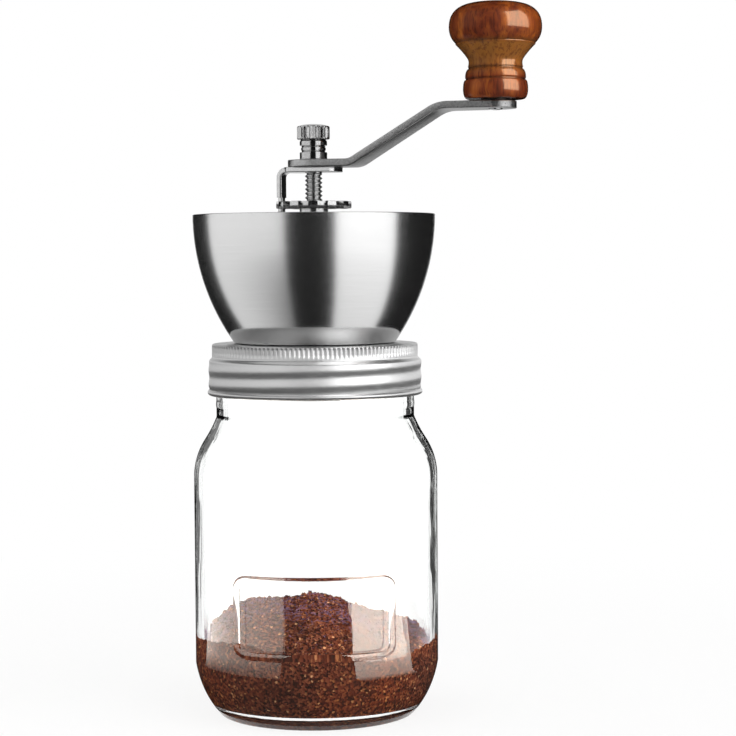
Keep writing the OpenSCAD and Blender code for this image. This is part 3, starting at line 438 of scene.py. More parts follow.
def label_ridge(x, z):
    """How far the raised frame stands out of the glass at x across the front and z up."""
    half_w, half_h = LABEL_W / 2 - LABEL_CORNER, LABEL_H / 2 - LABEL_CORNER
    dx, dz = np.abs(x) - half_w, np.abs(z - LABEL_Z - LABEL_H / 2) - half_h
    outside = np.hypot(np.maximum(dx, 0), np.maximum(dz, 0)) + np.minimum(np.maximum(dx, dz), 0)
    across = (outside - LABEL_CORNER + LABEL_RIDGE / 2) / (LABEL_RIDGE / 2)
    return LABEL_PROUD * np.sqrt(1 - np.clip(across, -1, 1) ** 2)


def jar_thread(z, angle):
    """How far the glass thread, one strand of a turn and a half, stands out of the neck."""
    turn = np.degrees((angle + math.pi) % (2 * math.pi) - math.pi)
    out = 0
    for a in (turn, turn + 360):
        grow = smooth((a + 180) / 90) * smooth((360 - a) / 90)
        off = (z - THREAD_Z - THREAD_PITCH * a / 360) / (THREAD_W / 2)
        out = out + grow * THREAD_H * np.sqrt(np.clip(1 - off ** 2, 0, 1))
    return out


def jar_profile():
    """The jar's section: outside from the dimple up to the rim, and inside from the rim down."""
    step = JAR_R - NECK_R
    shoulder_r, shoulder_z = NECK_R + 0.48 * step, SHOULDER_Z + 0.64 * SHOULDER_H
    ring_in = FOOT_R - FOOT_W    # the ring it stands on runs from here to FOOT_R
    outside = join(
        bend([AXIS_GAP, DIMPLE_H], [0.7 * FOOT_R, DIMPLE_H], [ring_in - 0.1, 0.25], 14),
        bend([ring_in - 0.1, 0.25], [ring_in + 0.1, 0], [ring_in + 0.5, 0], 3),
        line([ring_in + 0.5, 0], [FOOT_R - 0.4, 0], 2),
        bend([FOOT_R - 0.4, 0], [FOOT_R - 0.05, 0], [FOOT_R + 0.25, 0.35], 3),
        bend([FOOT_R + 0.25, 0.35], [JAR_R - 1.8, 0.42 * HEEL_H], [JAR_R, HEEL_H], 26),
        line([JAR_R, HEEL_H], [JAR_R, LABEL_Z - 1], 5),
        line([JAR_R, LABEL_Z - 1], [JAR_R, LABEL_Z + LABEL_H + 1], 116),
        line([JAR_R, LABEL_Z + LABEL_H + 1], [JAR_R, SHOULDER_Z], 8),
        bend([JAR_R, SHOULDER_Z], [JAR_R, SHOULDER_Z + 0.34 * SHOULDER_H], [shoulder_r, shoulder_z], 14),
        bend([shoulder_r, shoulder_z], [NECK_R + 0.18 * step, SHOULDER_Z + 0.82 * SHOULDER_H],
             [NECK_R, NECK_Z], 14),
        line([NECK_R, NECK_Z], [NECK_R, RING_Z - RING_H / 2], 2),
        bend([NECK_R, RING_Z - RING_H / 2], [NECK_R + 2 * RING_PROUD, RING_Z],
             [NECK_R, RING_Z + RING_H / 2], 8),
        line([NECK_R, RING_Z + RING_H / 2], [NECK_R, JAR_H - 1], 40),
        arc(NECK_R - 1, JAR_H - 1, 1, 0, 90, 6),
    )
    inside = join(
        arc(MOUTH_R + 0.8, JAR_H - 0.8, 0.8, 90, 180, 5),
        line([MOUTH_R, JAR_H - 0.8], [MOUTH_R, NECK_Z + 1], 5),
        cavity()[::-1],
    )
    return outside, inside


outside, inside = jar_profile()
front = np.radians(-90 + np.linspace(-LABEL_ARC, LABEL_ARC, 290, endpoint=False))
rest_of_jar = np.radians(-90 + np.linspace(LABEL_ARC, 360 - LABEL_ARC, 170, endpoint=False))


def jar_radius(r, z, a):
    """The jar's radius with the label frame and the thread on its outside."""
    outer = (np.arange(r.shape[0]) < len(outside))[:, None]
    body = outer & (np.abs(r - JAR_R) < 0.01)
    neck = outer & (z > RING_Z) & (np.abs(r - NECK_R) < 0.01)
    facing_front = np.sin(a) < -0.6
    r = r + body * facing_front * label_ridge(r * np.cos(a), z)
    return r + neck * jar_thread(z, a)


jar = make("jar_glass", turned(np.vstack([outside, inside]), np.r_[front, rest_of_jar], jar_radius),
           "jar", GLASS, ["glass_jar"])
jar.visible_shadow = False    # the light reaches the coffee through the glass


# ---- Ground coffee ----

HEAP_EDGE, HEAP_DOME, HEAP_TIP, HEAP_TIP_R = 27.0, 10.2, 3.4, 9
HEAP_PRESS = 0.03    # the grounds press on the glass, so no film of air lies between them
HEAP_LOW, HEAP_LOOSE = 4.9, 0.25    # lower than this they lie this far off the glass
HEAP_R = CAVITY_R + HEAP_PRESS
SLIPS = [(-27, 13, 2.0), (24, 12, -3.4), (1, 8, 0.6)]    # x, reach and height
LUMPS = [(13, 2.5, 0.9), (4.5, 7.1, 0.7), (1.5, 4.2, 0.7)]    # width, place in the noise and height
GRAINS = 3000


def heap_height(r, a):
    """Height of the heap's top, with the slips and lumps that pouring leaves."""
    x, y = r * math.cos(a), r * math.sin(a)
    z = HEAP_EDGE + HEAP_DOME * (1 - (r / HEAP_R) ** 4) + HEAP_TIP * math.exp(-(r / HEAP_TIP_R) ** 2)
    z += sum(h * math.exp(-((x - cx) / reach) ** 2) for cx, reach, h in SLIPS)
    for width, place, h in LUMPS:
        z += h * noise.noise(Vector((x / width, y / width, place)))
    return z


def heap():
    """Rings up the glass, then in over the top of the heap."""
    angles = round_angles(330)
    edge = np.array([heap_height(HEAP_R, a) for a in angles])
    side = [p for p in cavity(HEAP_LOOSE) if p[1] < HEAP_LOW]
    side += [p for p in cavity(-HEAP_PRESS) if HEAP_LOW + 0.15 < p[1] < CAVITY_HEEL + 0.01]
    rings = [ring(r, angles, z) for r, z in side]
    rings += [ring(HEAP_R, angles, CAVITY_HEEL + (edge - CAVITY_HEEL) * t) for t in np.linspace(0, 1, 8)[1:]]
    for r in np.linspace(HEAP_R, 0, 62)[1:]:
        r = max(r, AXIS_GAP)
        rings.append(ring(r, angles, np.array([heap_height(r, a) for a in angles])))
    return np.array(rings)


def grains(count, first):
    """Loose grains lying on the heap: small uneven lumps of eight faces, whose points count on from first."""
    corners = np.array([[1, 0, 0], [0, 1, 0], [-1, 0, 0], [0, -1, 0], [0, 0, 1], [0, 0, -1]], float)
    sides = [[0, 1, 4], [1, 2, 4], [2, 3, 4], [3, 0, 4], [1, 0, 5], [2, 1, 5], [3, 2, 5], [0, 3, 5]]
    points, faces = [], []
    for i in range(count):
        r, a = (HEAP_R - 0.95) * math.sqrt(chance.rand()), chance.rand() * 2 * math.pi
        size = 0.28 + 0.5 * chance.rand() ** 2
        spin = np.array(Matrix.Rotation(chance.rand() * 6.28, 3, Vector(chance.rand(3) - 0.5)))
        lump = corners * size * (0.65 + 0.7 * chance.rand(6, 1)) @ spin.T
        middle = [r * math.cos(a), r * math.sin(a), heap_height(r, a) + 0.35 * size]
        points.append(lump + middle)
        faces += [[first + 6 * i + k for k in side] for side in sides]
    return np.vstack(points), faces


body_of_heap = heap()
loose, loose_faces = grains(GRAINS, body_of_heap.shape[0] * body_of_heap.shape[1])
make("coffee_heap", np.vstack([body_of_heap.reshape(-1, 3), loose]), "jar", COFFEE,
     ["ground_coffee"], faces=ring_faces(body_of_heap) + loose_faces, sharp=60)


# ---- Screw band ----

THREAD_TOP = round((KNURL_Z - 1.4 - THREAD_Z) / THREAD_PITCH + 0.25)    # the skirt is plain over this ridge
HEM_WAVE = 0.55    # how far the hem stands out, as a share of the wave, to clear the glass thread
KNURLED_ROWS = 9    # of the collar's rows, these have knurls


def band_radius_at(z, a):
    """Radius of the skirt's outside, with the thread rolled into it."""
    into_collar = smooth((z - KNURL_Z + 2.2) / 1.6)
    rolled = smooth((z - BAND_Z - BEAD_H) / 1.2)
    turns = (z - THREAD_Z) / THREAD_PITCH - a / (2 * math.pi)
    wave = np.cos(2 * math.pi * np.minimum(turns, THREAD_TOP))
    wave = np.where(turns < THREAD_TOP - 1, 0.8 + 0.2 * wave, wave)
    wave = rolled * wave + (1 - rolled) * HEM_WAVE
    middle = ROLL_R - ROLL_H / 2
    return middle + (1 - into_collar) * wave * ROLL_H / 2 - into_collar * (middle - COLLAR_R)


def screw_band():
    """The band's sheet: the bead, up the skirt and over the collar, and back down inside."""
    bead = arc(BEAD_R - BEAD_H / 2, BAND_Z + BEAD_H / 2, BEAD_H / 2, -90, 62, 9)
    low, high = BAND_Z + BEAD_H, KNURL_Z - 0.4
    skirt = line([0, low], [0, high], 46)
    collar = join(
        [[COLLAR_R, KNURL_Z - 0.25]], line([COLLAR_R, KNURL_Z], [COLLAR_R, BAND_TOP - 0.75], 5),
        arc(COLLAR_R - 0.7, BAND_TOP - 0.7, 0.7, 4, 90, 6),
        line([COLLAR_R - 0.7, BAND_TOP], [BAND_OPEN_R + 0.25, BAND_TOP], 4),
        arc(BAND_OPEN_R + 0.25, BAND_TOP - 0.25, 0.25, 90, 270, 4),
        line([BAND_OPEN_R + 0.25, BAND_TOP - BAND_SHEET], [COLLAR_R - 0.9, BAND_TOP - BAND_SHEET], 2),
        [[COLLAR_R - 0.9, KNURL_Z - 0.4]],
    )
    back = line([0, high - 0.2], [0, low - 0.2], 30)
    hem = [[BEAD_R - 1.15, BAND_Z + 1.2], [BEAD_R - 1.12, BAND_Z + 0.35], [BEAD_R - 1.05, BAND_Z + 0.03]]
    profile = np.vstack([bead, skirt, collar, back, hem])
    starts = np.cumsum([len(bead), len(skirt), len(collar), len(back)])

    def radius(r, z, a):
        row = np.arange(len(profile))[:, None]
        on_skirt = (row >= starts[0]) & (row < starts[1])
        on_collar = (row >= starts[1]) & (row < starts[1] + KNURLED_ROWS)
        behind = (row >= starts[2]) & (row < starts[3])
        rolled = band_radius_at(z, a)
        knurl = KNURL_DEPTH * (0.5 - 0.5 * np.cos(KNURLS * a)) ** 1.5
        ends = smooth((z - KNURL_Z) / 0.35) * smooth((BAND_TOP - 0.25 - z) / 0.5)
        r = np.where(on_skirt, rolled, np.where(behind, rolled - BAND_SHEET, r + 0 * a))
        return np.where(on_collar, r - knurl * ends, r)

    return turned(profile, round_angles(KNURLS * 6), radius)


rolled_band = make("rolled_band", screw_band(), "band", ALUMINIUM, ["screw_band"],
                   wrap=True)


# ---- Hopper ----

def hopper():
    """The bowl's section: up the outside of a round wall, and down the inside to the throat."""
    drop, run = BOWL_RIM - BOWL_Z, BOWL_R - BOWL_FOOT_R
    wall = (run ** 2 + drop ** 2) / (2 * run)
    middle = BOWL_R - wall
    edge = BOWL_SHEET / 2

    def wall_points(radius, low, high, n):
        z = np.linspace(low, high, n + 1)
        return np.column_stack([middle + np.sqrt(radius ** 2 - (BOWL_RIM - z) ** 2), z])

    floor = BOWL_Z + BOWL_SHEET
    outer = wall_points(wall, BOWL_Z + 0.35, BOWL_RIM - edge, 60)
    inner = wall_points(wall - BOWL_SHEET, BOWL_RIM - edge, floor + 0.9, 50)
    corner = bend(inner[-1], [inner[-1][0] - 0.5, floor], [inner[-1][0] - 1.4, floor], 5)
    return join(
        outer,
        arc(BOWL_R - edge, BOWL_RIM - edge, edge, 8, 172, 8),
        inner, corner,
        line(corner[-1], [THROAT_R + 0.15, floor], 6),
        arc(THROAT_R + 0.15, floor - 0.15, 0.15, 90, 180, 3),
        [[THROAT_R, BOWL_Z + 0.1], [THROAT_R + 0.1, BOWL_Z]],
        line([THROAT_R + 0.1, BOWL_Z], [outer[0][0] - 0.5, BOWL_Z], 3),
        bend([outer[0][0] - 0.5, BOWL_Z], [outer[0][0] - 0.1, BOWL_Z], outer[0], 4),
    )


make("spun_hopper", turned(hopper(), round_angles(220)), "head", SPUN_STEEL,
     ["hopper_bowl"], wrap=True)


# ---- Adjusting disc ----

def disc_outline(inset):
    """The notched outline drawn in by inset."""
    half, step = NOTCH_W / 2 + inset, 2 * math.pi / NOTCHES
    rim, floor = DISC_R - inset, NOTCH_R - inset
    wall, middle = math.asin(half / rim), (floor + rim) / 2
    tooth = [(floor, -half), (floor, -half / 3), (floor, half / 3), (floor, half), (middle, half)]
    tooth += [(rim * math.cos(a), rim * math.sin(a)) for a in np.linspace(wall, step - wall, 7)]
    tooth.append(rotated(middle, -half, step))
    turns = [AZIMUTH + math.pi + 2 * math.pi * i / NOTCHES for i in range(NOTCHES)]
    return np.array([rotated(x, y, turn) for turn in turns for x, y in tooth])


def adjusting_disc():
    edge = 0.35
    rings = []
    for inset, z in [(edge, DISC_Z), (0.1, DISC_Z + 0.1), (0, DISC_Z + edge),
                     (0, DISC_TOP - edge), (0.1, DISC_TOP - 0.1), (edge, DISC_TOP)]:
        outline = disc_outline(inset)
        rings.append(np.column_stack([outline, np.full(len(outline), z)]))
    facing = np.arctan2(rings[0][:, 1], rings[0][:, 0])
    return np.array(rings + [ring(SPINDLE_R + 0.08, facing, z) for z in (DISC_TOP, DISC_Z)])


make("notched_disc", adjusting_disc(), "adjuster", NICKEL, ["adjusting_disc"], wrap=True)


# ---- Spindle ----

def spindle():
    """A shaft with flats at both ends and a thread between the disc and the bracket."""
    bottom, top = SPINDLE_LOW[2], SPINDLE_HIGH[2]
    shoulder = BRACKET_Z - BRACKET_T / 2    # where the arm's flats begin
    thread_low, thread_high = DISC_Z - 1, shoulder - 0.2
    profile = join(
        [[AXIS_GAP, bottom]],
        bend([SPINDLE_R - 0.4, bottom], [SPINDLE_R, bottom], [SPINDLE_R, bottom + 0.4], 3),
        line([SPINDLE_R, bottom + 0.4], [SPINDLE_R, thread_low], 12),
        line([SPINDLE_R, thread_low], [SPINDLE_R, thread_high], int((thread_high - thread_low) / 0.1)),
        line([SPINDLE_R, thread_high], [SPINDLE_R, top - 0.4], 6),
        bend([SPINDLE_R, top - 0.4], [SPINDLE_R, top], [SPINDLE_R - 0.4, top], 3),
        [[AXIS_GAP, top]],
    )

    def radius(r, z, a):
        cut = (z > thread_low) & (z < thread_high) & (r > SPINDLE_R - 0.01)
        phase = (z / SPINDLE_PITCH - a / (2 * math.pi)) % 1
        depth = 0.72 * (1 - np.clip(np.abs(2 * phase - 1) * 1.2, 0, 1))
        return r - cut * depth

    rings = turned(profile, round_angles(48), radius)
    u, v = rotated(rings[..., 0], rings[..., 1], -AZIMUTH)
    flat = (rings[..., 2] > shoulder) | (rings[..., 2] < BURR_FLAT_TOP)
    v = np.where(flat, np.clip(v, -FLAT_HALF, FLAT_HALF), v)
    return crank_frame(u, v, rings[..., 2])


make("threaded_spindle", spindle(), "crank", SCREW_STEEL, ["spindle"])


# ---- Bent strips: the arm and the stop bracket ----

def round_corner(a, b, c, r, n=24):
    """Points that round the corner b between a and c with radius r."""
    a, b, c = (np.array(p, float) for p in (a, b, c))
    to_a, to_c = (a - b) / np.linalg.norm(a - b), (c - b) / np.linalg.norm(c - b)
    half = math.acos(to_a @ to_c) / 2
    centre = b + (to_a + to_c) / np.linalg.norm(to_a + to_c) * r / math.sin(half)
    start, end = b + to_a * r / math.tan(half) - centre, b + to_c * r / math.tan(half) - centre
    t = np.linspace(0, 1, n + 1)[:, None]
    spoke = start * (1 - t) + end * t
    return centre + r * spoke / np.linalg.norm(spoke, axis=1)[:, None]


def strip(path, half_width, half_thick, edge, corner=4):
    """A flat bar in the crank's frame. It follows path, points of (along, up), with rounded edges."""
    slope = np.gradient(path, axis=0)
    slope /= np.linalg.norm(slope, axis=1)[:, None]
    normal = np.column_stack([-slope[:, 1], slope[:, 0]])
    rings = []
    for (u, z), (nu, nz), w, t in zip(path, normal, half_width, half_thick):
        ex, ez = min(edge, 0.98 * w), min(edge, 0.98 * t)
        section = []
        for sx, sz, begin in ((1, 1, 0), (-1, 1, 90), (-1, -1, 180), (1, -1, 270)):
            for k in range(corner + 1):
                b = math.radians(begin + 90 * k / corner)
                section.append((sx * (w - ex) + ex * math.cos(b), sz * (t - ez) + ez * math.sin(b)))
        section = np.array(section)
        rings.append(crank_frame(u + nu * section[:, 1], section[:, 0], z + nz * section[:, 1]))
    return np.array(rings)


def end_thickness(near, half, edge):
    """Half the thickness at the distance near from an end whose edges are rounded by edge."""
    near = near.clip(0, edge)
    return half - edge + np.sqrt(edge ** 2 - (edge - near) ** 2)


def crank_arm():
    """A strip with a round hub and pad, which tapers between them and rises in two bends."""
    low = ARM_Z + ARM_T / 2
    corners = [[-2 * HUB_R, low], [ARM_BENDS[0], low], [ARM_BENDS[1], low + ARM_RISE],
               [ARM_LEN + 2 * PAD_R, low + ARM_RISE]]
    path = join([corners[0]], round_corner(*corners[:3], ARM_BEND_R[0]),
                round_corner(*corners[1:], ARM_BEND_R[1]), [corners[3]])
    tip_low, tip_high = -HUB_R, ARM_LEN + PAD_R
    ends = 1 - np.cos(np.linspace(0.02, math.pi / 2, 14))
    u = np.r_[tip_low + ends * HUB_R, np.arange(1, ARM_LEN, 0.5), (tip_high - ends * PAD_R)[::-1]]
    centre = np.column_stack([u, np.interp(u, path[:, 0], path[:, 1])])
    taper = math.asin((HUB_R - PAD_R) / ARM_LEN)
    hub_u, pad_u = HUB_R * math.sin(taper), ARM_LEN + PAD_R * math.sin(taper)
    width = np.interp(u, [hub_u, pad_u], [HUB_R * math.cos(taper), PAD_R * math.cos(taper)])
    width = np.where(u < hub_u, np.sqrt(np.clip(HUB_R ** 2 - u ** 2, 0, None)), width)
    width = np.where(u > pad_u, np.sqrt(np.clip(PAD_R ** 2 - (u - ARM_LEN) ** 2, 0, None)), width)
    edge = 0.4
    thick = end_thickness(np.minimum(u - tip_low, tip_high - u), ARM_T / 2, edge)
    return strip(centre, width, thick, edge)


make("bent_arm", crank_arm(), "crank", ARM_STEEL, ["crank_arm"], sharp=30)


def stop_bracket():
    """A plate with a round end under the arm, bent down into a leg and a narrower tongue."""
    ends = [[BRACKET_REACH, BRACKET_Z], [-LEG_MID, BRACKET_Z], [-LEG_MID, TONGUE_LOW]]
    path = join([ends[0]], round_corner(*ends, BRACKET_BEND_R, 12), [ends[2]])
    along = np.r_[0, np.cumsum(np.linalg.norm(np.diff(path, axis=0), axis=1))]
    total = along[-1]
    shoulder = total - (TONGUE_SHOULDER - TONGUE_LOW)
    stations = np.unique(np.r_[BRACKET_REACH * (1 - np.cos(np.linspace(0.03, math.pi / 2, 12))),
                               np.linspace(BRACKET_REACH, shoulder, 36),
                               shoulder + 0.02, shoulder + 0.3,
                               total - 0.35 * (1 - np.sin(np.linspace(0, math.pi / 2, 5)))])
    centre = np.column_stack([np.interp(stations, along, path[:, i]) for i in (0, 1)])
    u = centre[:, 0]
    plate = np.minimum(BRACKET_W / 2, np.sqrt(np.clip(BRACKET_REACH ** 2 - u ** 2, 0, None)))
    width = np.where(u < 0, np.maximum(plate, LEG_W / 2), plate)
    width = np.where(stations > shoulder + 0.01, TONGUE_W / 2, width)
    edge = 0.3
    thick = end_thickness(np.minimum(stations, total - stations), BRACKET_T / 2, edge)
    return strip(centre, np.maximum(width, 0.3), thick, edge)


make("bent_bracket", stop_bracket(), "crank", NICKEL, ["stop_bracket"], sharp=30)


# ---- Thumb nut ----

def thumb_nut():
    """A neck with two grooves, and a fluted head with a low dome."""
    neck_h, head_h, dome_h, flutes, flute_depth = 7.0, 4.8, 0.7, 26, 0.45
    neck_r, head_r, groove = 4.8, 5.7, 0.5
    top, waist = neck_h + head_h, neck_r - groove
    bore_h = SPINDLE_HIGH[2] - NUT_Z + 0.4
    profile = join(
        [[SPINDLE_R + 0.1, 0.05]], [[neck_r - 0.4, 0]],
        bend([neck_r - 0.4, 0], [neck_r, 0], [neck_r, 0.4], 4),
        line([neck_r, 0.4], [neck_r, 0.37 * neck_h], 4),
        bend([neck_r, 0.37 * neck_h], [neck_r - 2.2 * groove, 0.42 * neck_h], [waist, 0.48 * neck_h], 6),
        bend([waist, 0.48 * neck_h], [neck_r - 0.8 * groove, 0.55 * neck_h], [waist, 0.61 * neck_h], 6),
        bend([waist, 0.61 * neck_h], [neck_r - 2.2 * groove, 0.66 * neck_h], [neck_r, 0.72 * neck_h], 6),
        line([neck_r, 0.72 * neck_h], [neck_r, 0.9 * neck_h], 3),
        bend([neck_r, 0.9 * neck_h], [neck_r - 0.1, neck_h - 0.3], [waist, neck_h], 4),
        bend([head_r - 0.8, neck_h], [head_r, neck_h], [head_r, neck_h + 0.5], 4),
        line([head_r, neck_h + 0.5], [head_r, top - 0.5], 8),
        bend([head_r, top - 0.5], [head_r, top], [head_r - 0.7, top + 0.1], 4),
        bend([head_r - 0.7, top + 0.1], [head_r - 2.2, top + dome_h], [AXIS_GAP, top + dome_h], 8),
    )
    bore = join([[AXIS_GAP, bore_h]], [[SPINDLE_R + 0.1, bore_h]], [[SPINDLE_R + 0.1, 0.05]])
    profile = join(bore, profile) + [0, NUT_Z]

    def radius(r, z, a):
        along = (z - NUT_Z - neck_h) / head_h
        ends = smooth(along / 0.14) * smooth((1 - along) / 0.14)
        flute = flute_depth * (0.5 - 0.5 * np.cos(flutes * a)) ** 0.8
        return r - (r > head_r - 0.05) * ends * flute + 0 * a

    return turned(profile, round_angles(flutes * 10), radius)


make("knurled_nut", thumb_nut(), "crank", CHROME, ["thumb_nut"])


# ---- Knob ----

def knob_profile():
    """The knob's section over its bore: two beads, the waist and the head."""
    foot, waist, head = 11.1, 9.1, 15.88
    h = KNOB_H
    return join(
        [[3.7, 0.0]], line([4.2, 0], [foot - 1.3, 0], 2),
        bend([foot - 1.3, 0], [foot - 0.2, 0.01 * h], [foot, 0.09 * h], 7),
        bend([foot, 0.09 * h], [foot, 0.165 * h], [foot - 0.45, 0.188 * h], 6),
        bend([foot - 0.45, 0.188 * h], [foot - 1.25, 0.2 * h], [foot - 0.75, 0.214 * h], 5),
        bend([foot - 0.75, 0.214 * h], [foot - 0.65, 0.27 * h], [foot - 1.4, 0.3 * h], 6),
        bend([foot - 1.4, 0.3 * h], [foot - 2.2, 0.315 * h], [waist + 0.3, 0.33 * h], 5),
        bend([waist + 0.3, 0.33 * h], [waist - 0.25, 0.385 * h], [waist + 0.5, 0.42 * h], 8),
        bend([waist + 0.5, 0.42 * h], [waist + 1.7, 0.475 * h], [head - 2.7, 0.55 * h], 10),
        bend([head - 2.7, 0.55 * h], [head - 2.1, 0.562 * h], [head - 2.25, 0.575 * h], 4),
        bend([head - 2.25, 0.575 * h], [head, 0.64 * h], [head, 0.74 * h], 12),
        bend([head, 0.74 * h], [head, 0.93 * h], [0.6 * head, 0.975 * h], 16),
        bend([0.6 * head, 0.975 * h], [0.4 * head, h], [AXIS_GAP, h], 10),
    )


def knob():
    """A turned knob with the blind bore that its bush sits in."""
    bore_r, bore_h = 3.65, 0.71 * KNOB_H + 3.2
    bore = join([[AXIS_GAP, bore_h]], line([bore_r, bore_h], [bore_r, 0.1], 3))
    rings = turned(join(bore, knob_profile()) + [0, KNOB_Z], round_angles(144))
    rings[..., 0] += KNOB_X
    rings[..., 1] += KNOB_Y
    return rings


wooden_knob = make("turned_knob", knob(), "knob", WOOD, ["knob"], sharp=50)


# ---- Studio, in metres. Directions are in degrees from the camera's side round to +X ----

GLASS_LOSS = 0.28    # how much brighter the background is for rays that have gone through glass
FLOOR_HALF, FLOOR_Z = 6.0, -0.0003
FLOOR_NEAR, FLOOR_FAR = 0.1, 0.42    # between these the shadow fades out of the floor
FLOOR_WHITE = (0.84, 1.0)    # share of the floor's white that is its own, near the object and far from it
CLEAR_OF_FOOT = 0.085    # the cards come no nearer than this for rays that have gone through the jar
ACROSS_JAR, BOUNCED = 2.5, -20.0    # faces of glass that a view across the jar passes, and a bounce's worth
REACHES = (0.036, 0.09, 0.2, 0.6, 1.7)    # the rows of the three large cards
NEAR, FAR, BEHIND, WALL, TOP = REACHES[0], REACHES[-1], 1.72, 1.66, 2.4
EDGE_NEAR = 0.046
LOW, OVER_LOW, WINDOW_LOW = 0.0002, 0.0003, 0.0008    # heights of cards on the floor
# Directions where cards meet
DARK_FROM, BRIGHT_FROM, BRIGHT_TO, BACK_FROM, BACK_TO, LEFT_FROM = -26, 21, 84, 164, 196, 254
DARK = 0.012    # glow of the dark cards
SOFTBOX_Z, AIM = 0.62, Vector((0, 0, 0.14))    # height of the softboxes' middles, and the point they face


def backdrop_rays(tree):
    """1 for rays that should see the white background: camera, glossy and transmission rays."""
    path = tree.nodes.new("ShaderNodeLightPath")
    value = path.outputs["Is Camera Ray"]
    for name in ("Is Glossy Ray", "Is Transmission Ray"):
        both = tree.nodes.new("ShaderNodeMath")
        both.operation = "MAXIMUM"
        tree.links.new(value, both.inputs[0])
        tree.links.new(path.outputs[name], both.inputs[1])
        value = both.outputs[0]
    return value


def backdrop_glow(tree):
    """The background's strength, a little more for rays that have lost some light in the glass."""
    glow = tree.nodes.new("ShaderNodeMath")
    glow.operation = "MULTIPLY_ADD"
    tree.links.new(tree.nodes.new("ShaderNodeLightPath").outputs["Is Transmission Ray"], glow.inputs[0])
    glow.inputs[1].default_value = GLASS_LOSS
    glow.inputs[2].default_value = 1.0
    return glow.outputs[0]


def white_floor():
    mesh = bpy.data.meshes.new("floor")
    corners = [(x * FLOOR_HALF, y * FLOOR_HALF, FLOOR_Z) for x, y in ((-1, -1), (1, -1), (1, 1), (-1, 1))]
    mesh.from_pydata(corners, [], [(0, 1, 2, 3)])
    f = Finish("floor_white", Base_Color=grey(0.95), Roughness=0.9, Specular_IOR_Level=0.0)
    glow = f.add("Emission", {"Color": grey(1.0), "Strength": backdrop_glow(f.tree)})
    away = f.add("VectorMath", {0: f.place()}, operation="LENGTH").outputs["Value"]
    own = f.add("MapRange", {"Value": away, "From Min": FLOOR_NEAR, "From Max": FLOOR_FAR,
                             "To Min": FLOOR_WHITE[0], "To Max": FLOOR_WHITE[1]},
                interpolation_type="SMOOTHSTEP").outputs["Result"]
    share = f.add("Math", {0: backdrop_rays(f.tree), 1: own}, operation="MULTIPLY")
    mixed = f.add("MixShader", {0: share.outputs[0], 1: f.shader.outputs["BSDF"], 2: glow.outputs[0]})
    f.surface(mixed.outputs[0])
    mesh.materials.append(f.material)
    show(bpy.data.objects.new("floor", mesh))


def card(name, rows, rays=("glossy", "transmission"), seen_by=(), hidden_from=(), tint=(1, 1, 1, 1)):
    """A glowing sheet on the floor and up round the set that only some rays see. Each row of it is a reach
    and a height, the directions it starts and ends at, and its glow at the start and the end. seen_by are
    the only pieces it lights, and hidden_from are pieces it doesn't light."""
    steps = np.linspace(0, 1, 25)
    n = len(steps)
    for ray in rays:
        points, glows = [], []
        for reach, height, start, end, glow_start, glow_end in rows:
            reach = reach if ray == "glossy" else max(reach, CLEAR_OF_FOOT)
            for t in steps:
                a = math.radians(start + (end - start) * t - 90)
                points.append((reach * math.cos(a), reach * math.sin(a), height))
                glows.append(glow_start + (glow_end - glow_start) * t * t)
        mesh = bpy.data.meshes.new(name)
        mesh.from_pydata(points, [], [(k * n + i, k * n + i + 1, (k + 1) * n + i + 1, (k + 1) * n + i)
                                      for k in range(len(rows) - 1) for i in range(n - 1)])
        mesh.attributes.new("glow", "FLOAT", "POINT").data.foreach_set("value", glows)
        f = Finish(name)
        level = f.add("Attribute", attribute_name="glow").outputs["Fac"]
        surface = f.add("Emission", {"Color": tint, "Strength": level})
        clear = f.add("BsdfTransparent").outputs[0]
        if seen_by:
            surface = f.add("AddShader", {0: surface.outputs[0], 1: clear})
        if ray == "transmission":    # a view across the jar sees past the card, which still lights the coffee
            path = f.add("LightPath").outputs
            passed = f.add("Math", {0: path["Diffuse Depth"], 1: BOUNCED, 2: path["Transmission Depth"]},
                           operation="MULTIPLY_ADD").outputs[0]
            across = f.add("Math", {0: passed, 1: ACROSS_JAR}, operation="GREATER_THAN").outputs[0]
            surface = f.add("MixShader", {0: across, 1: surface.outputs[0], 2: clear})
        f.surface(surface.outputs[0])
        mesh.materials.append(f.material)
        sheet = show(bpy.data.objects.new(name, mesh))
        for other in ("camera", "diffuse", "glossy", "transmission", "shadow", "volume_scatter"):
            setattr(sheet, "visible_" + other, other == ray)
        if seen_by or hidden_from:
            linked = bpy.data.collections.new(name)
            for piece in [*seen_by, *hidden_from]:
                linked.objects.link(piece)
            for member in linked.collection_objects:
                member.light_linking.link_state = "INCLUDE" if seen_by else "EXCLUDE"
            sheet.light_linking.receiver_collection = linked


def folded_card(name, low, rows, reaches=REACHES, high=TOP, **how):
    """A card that lies at the height low and stands up from its last reach. A row is its ends and glows."""
    lying = [(reach, low, *row) for reach, row in zip(reaches, rows)]
    card(name, [*lying, (reaches[-1], high, *rows[-1])], **how)


def even_card(name, start, end, glow, near=NEAR, far=BEHIND, low=LOW, high=TOP, **how):
    """A folded card with the same ends and the same glow all over."""
    folded_card(name, low, [(start, end, glow, glow)] * 2, (near, far), high, **how)


def wall(name, start, end, glow_start, glow_end, height=TOP, **how):
    """A standing card that only mirrors see."""
    rows = [(WALL, z, start, end, glow_start, glow_end) for z in (0.0, height)]
    card(name, rows, rays=("glossy",), **how)


def ceiling(name, start, end, glow, near, far, height, **how):
    """A level card over the set that only mirrors see."""
    card(name, [(reach, height, start, end, glow, glow) for reach in (near, far)], rays=("glossy",), **how)


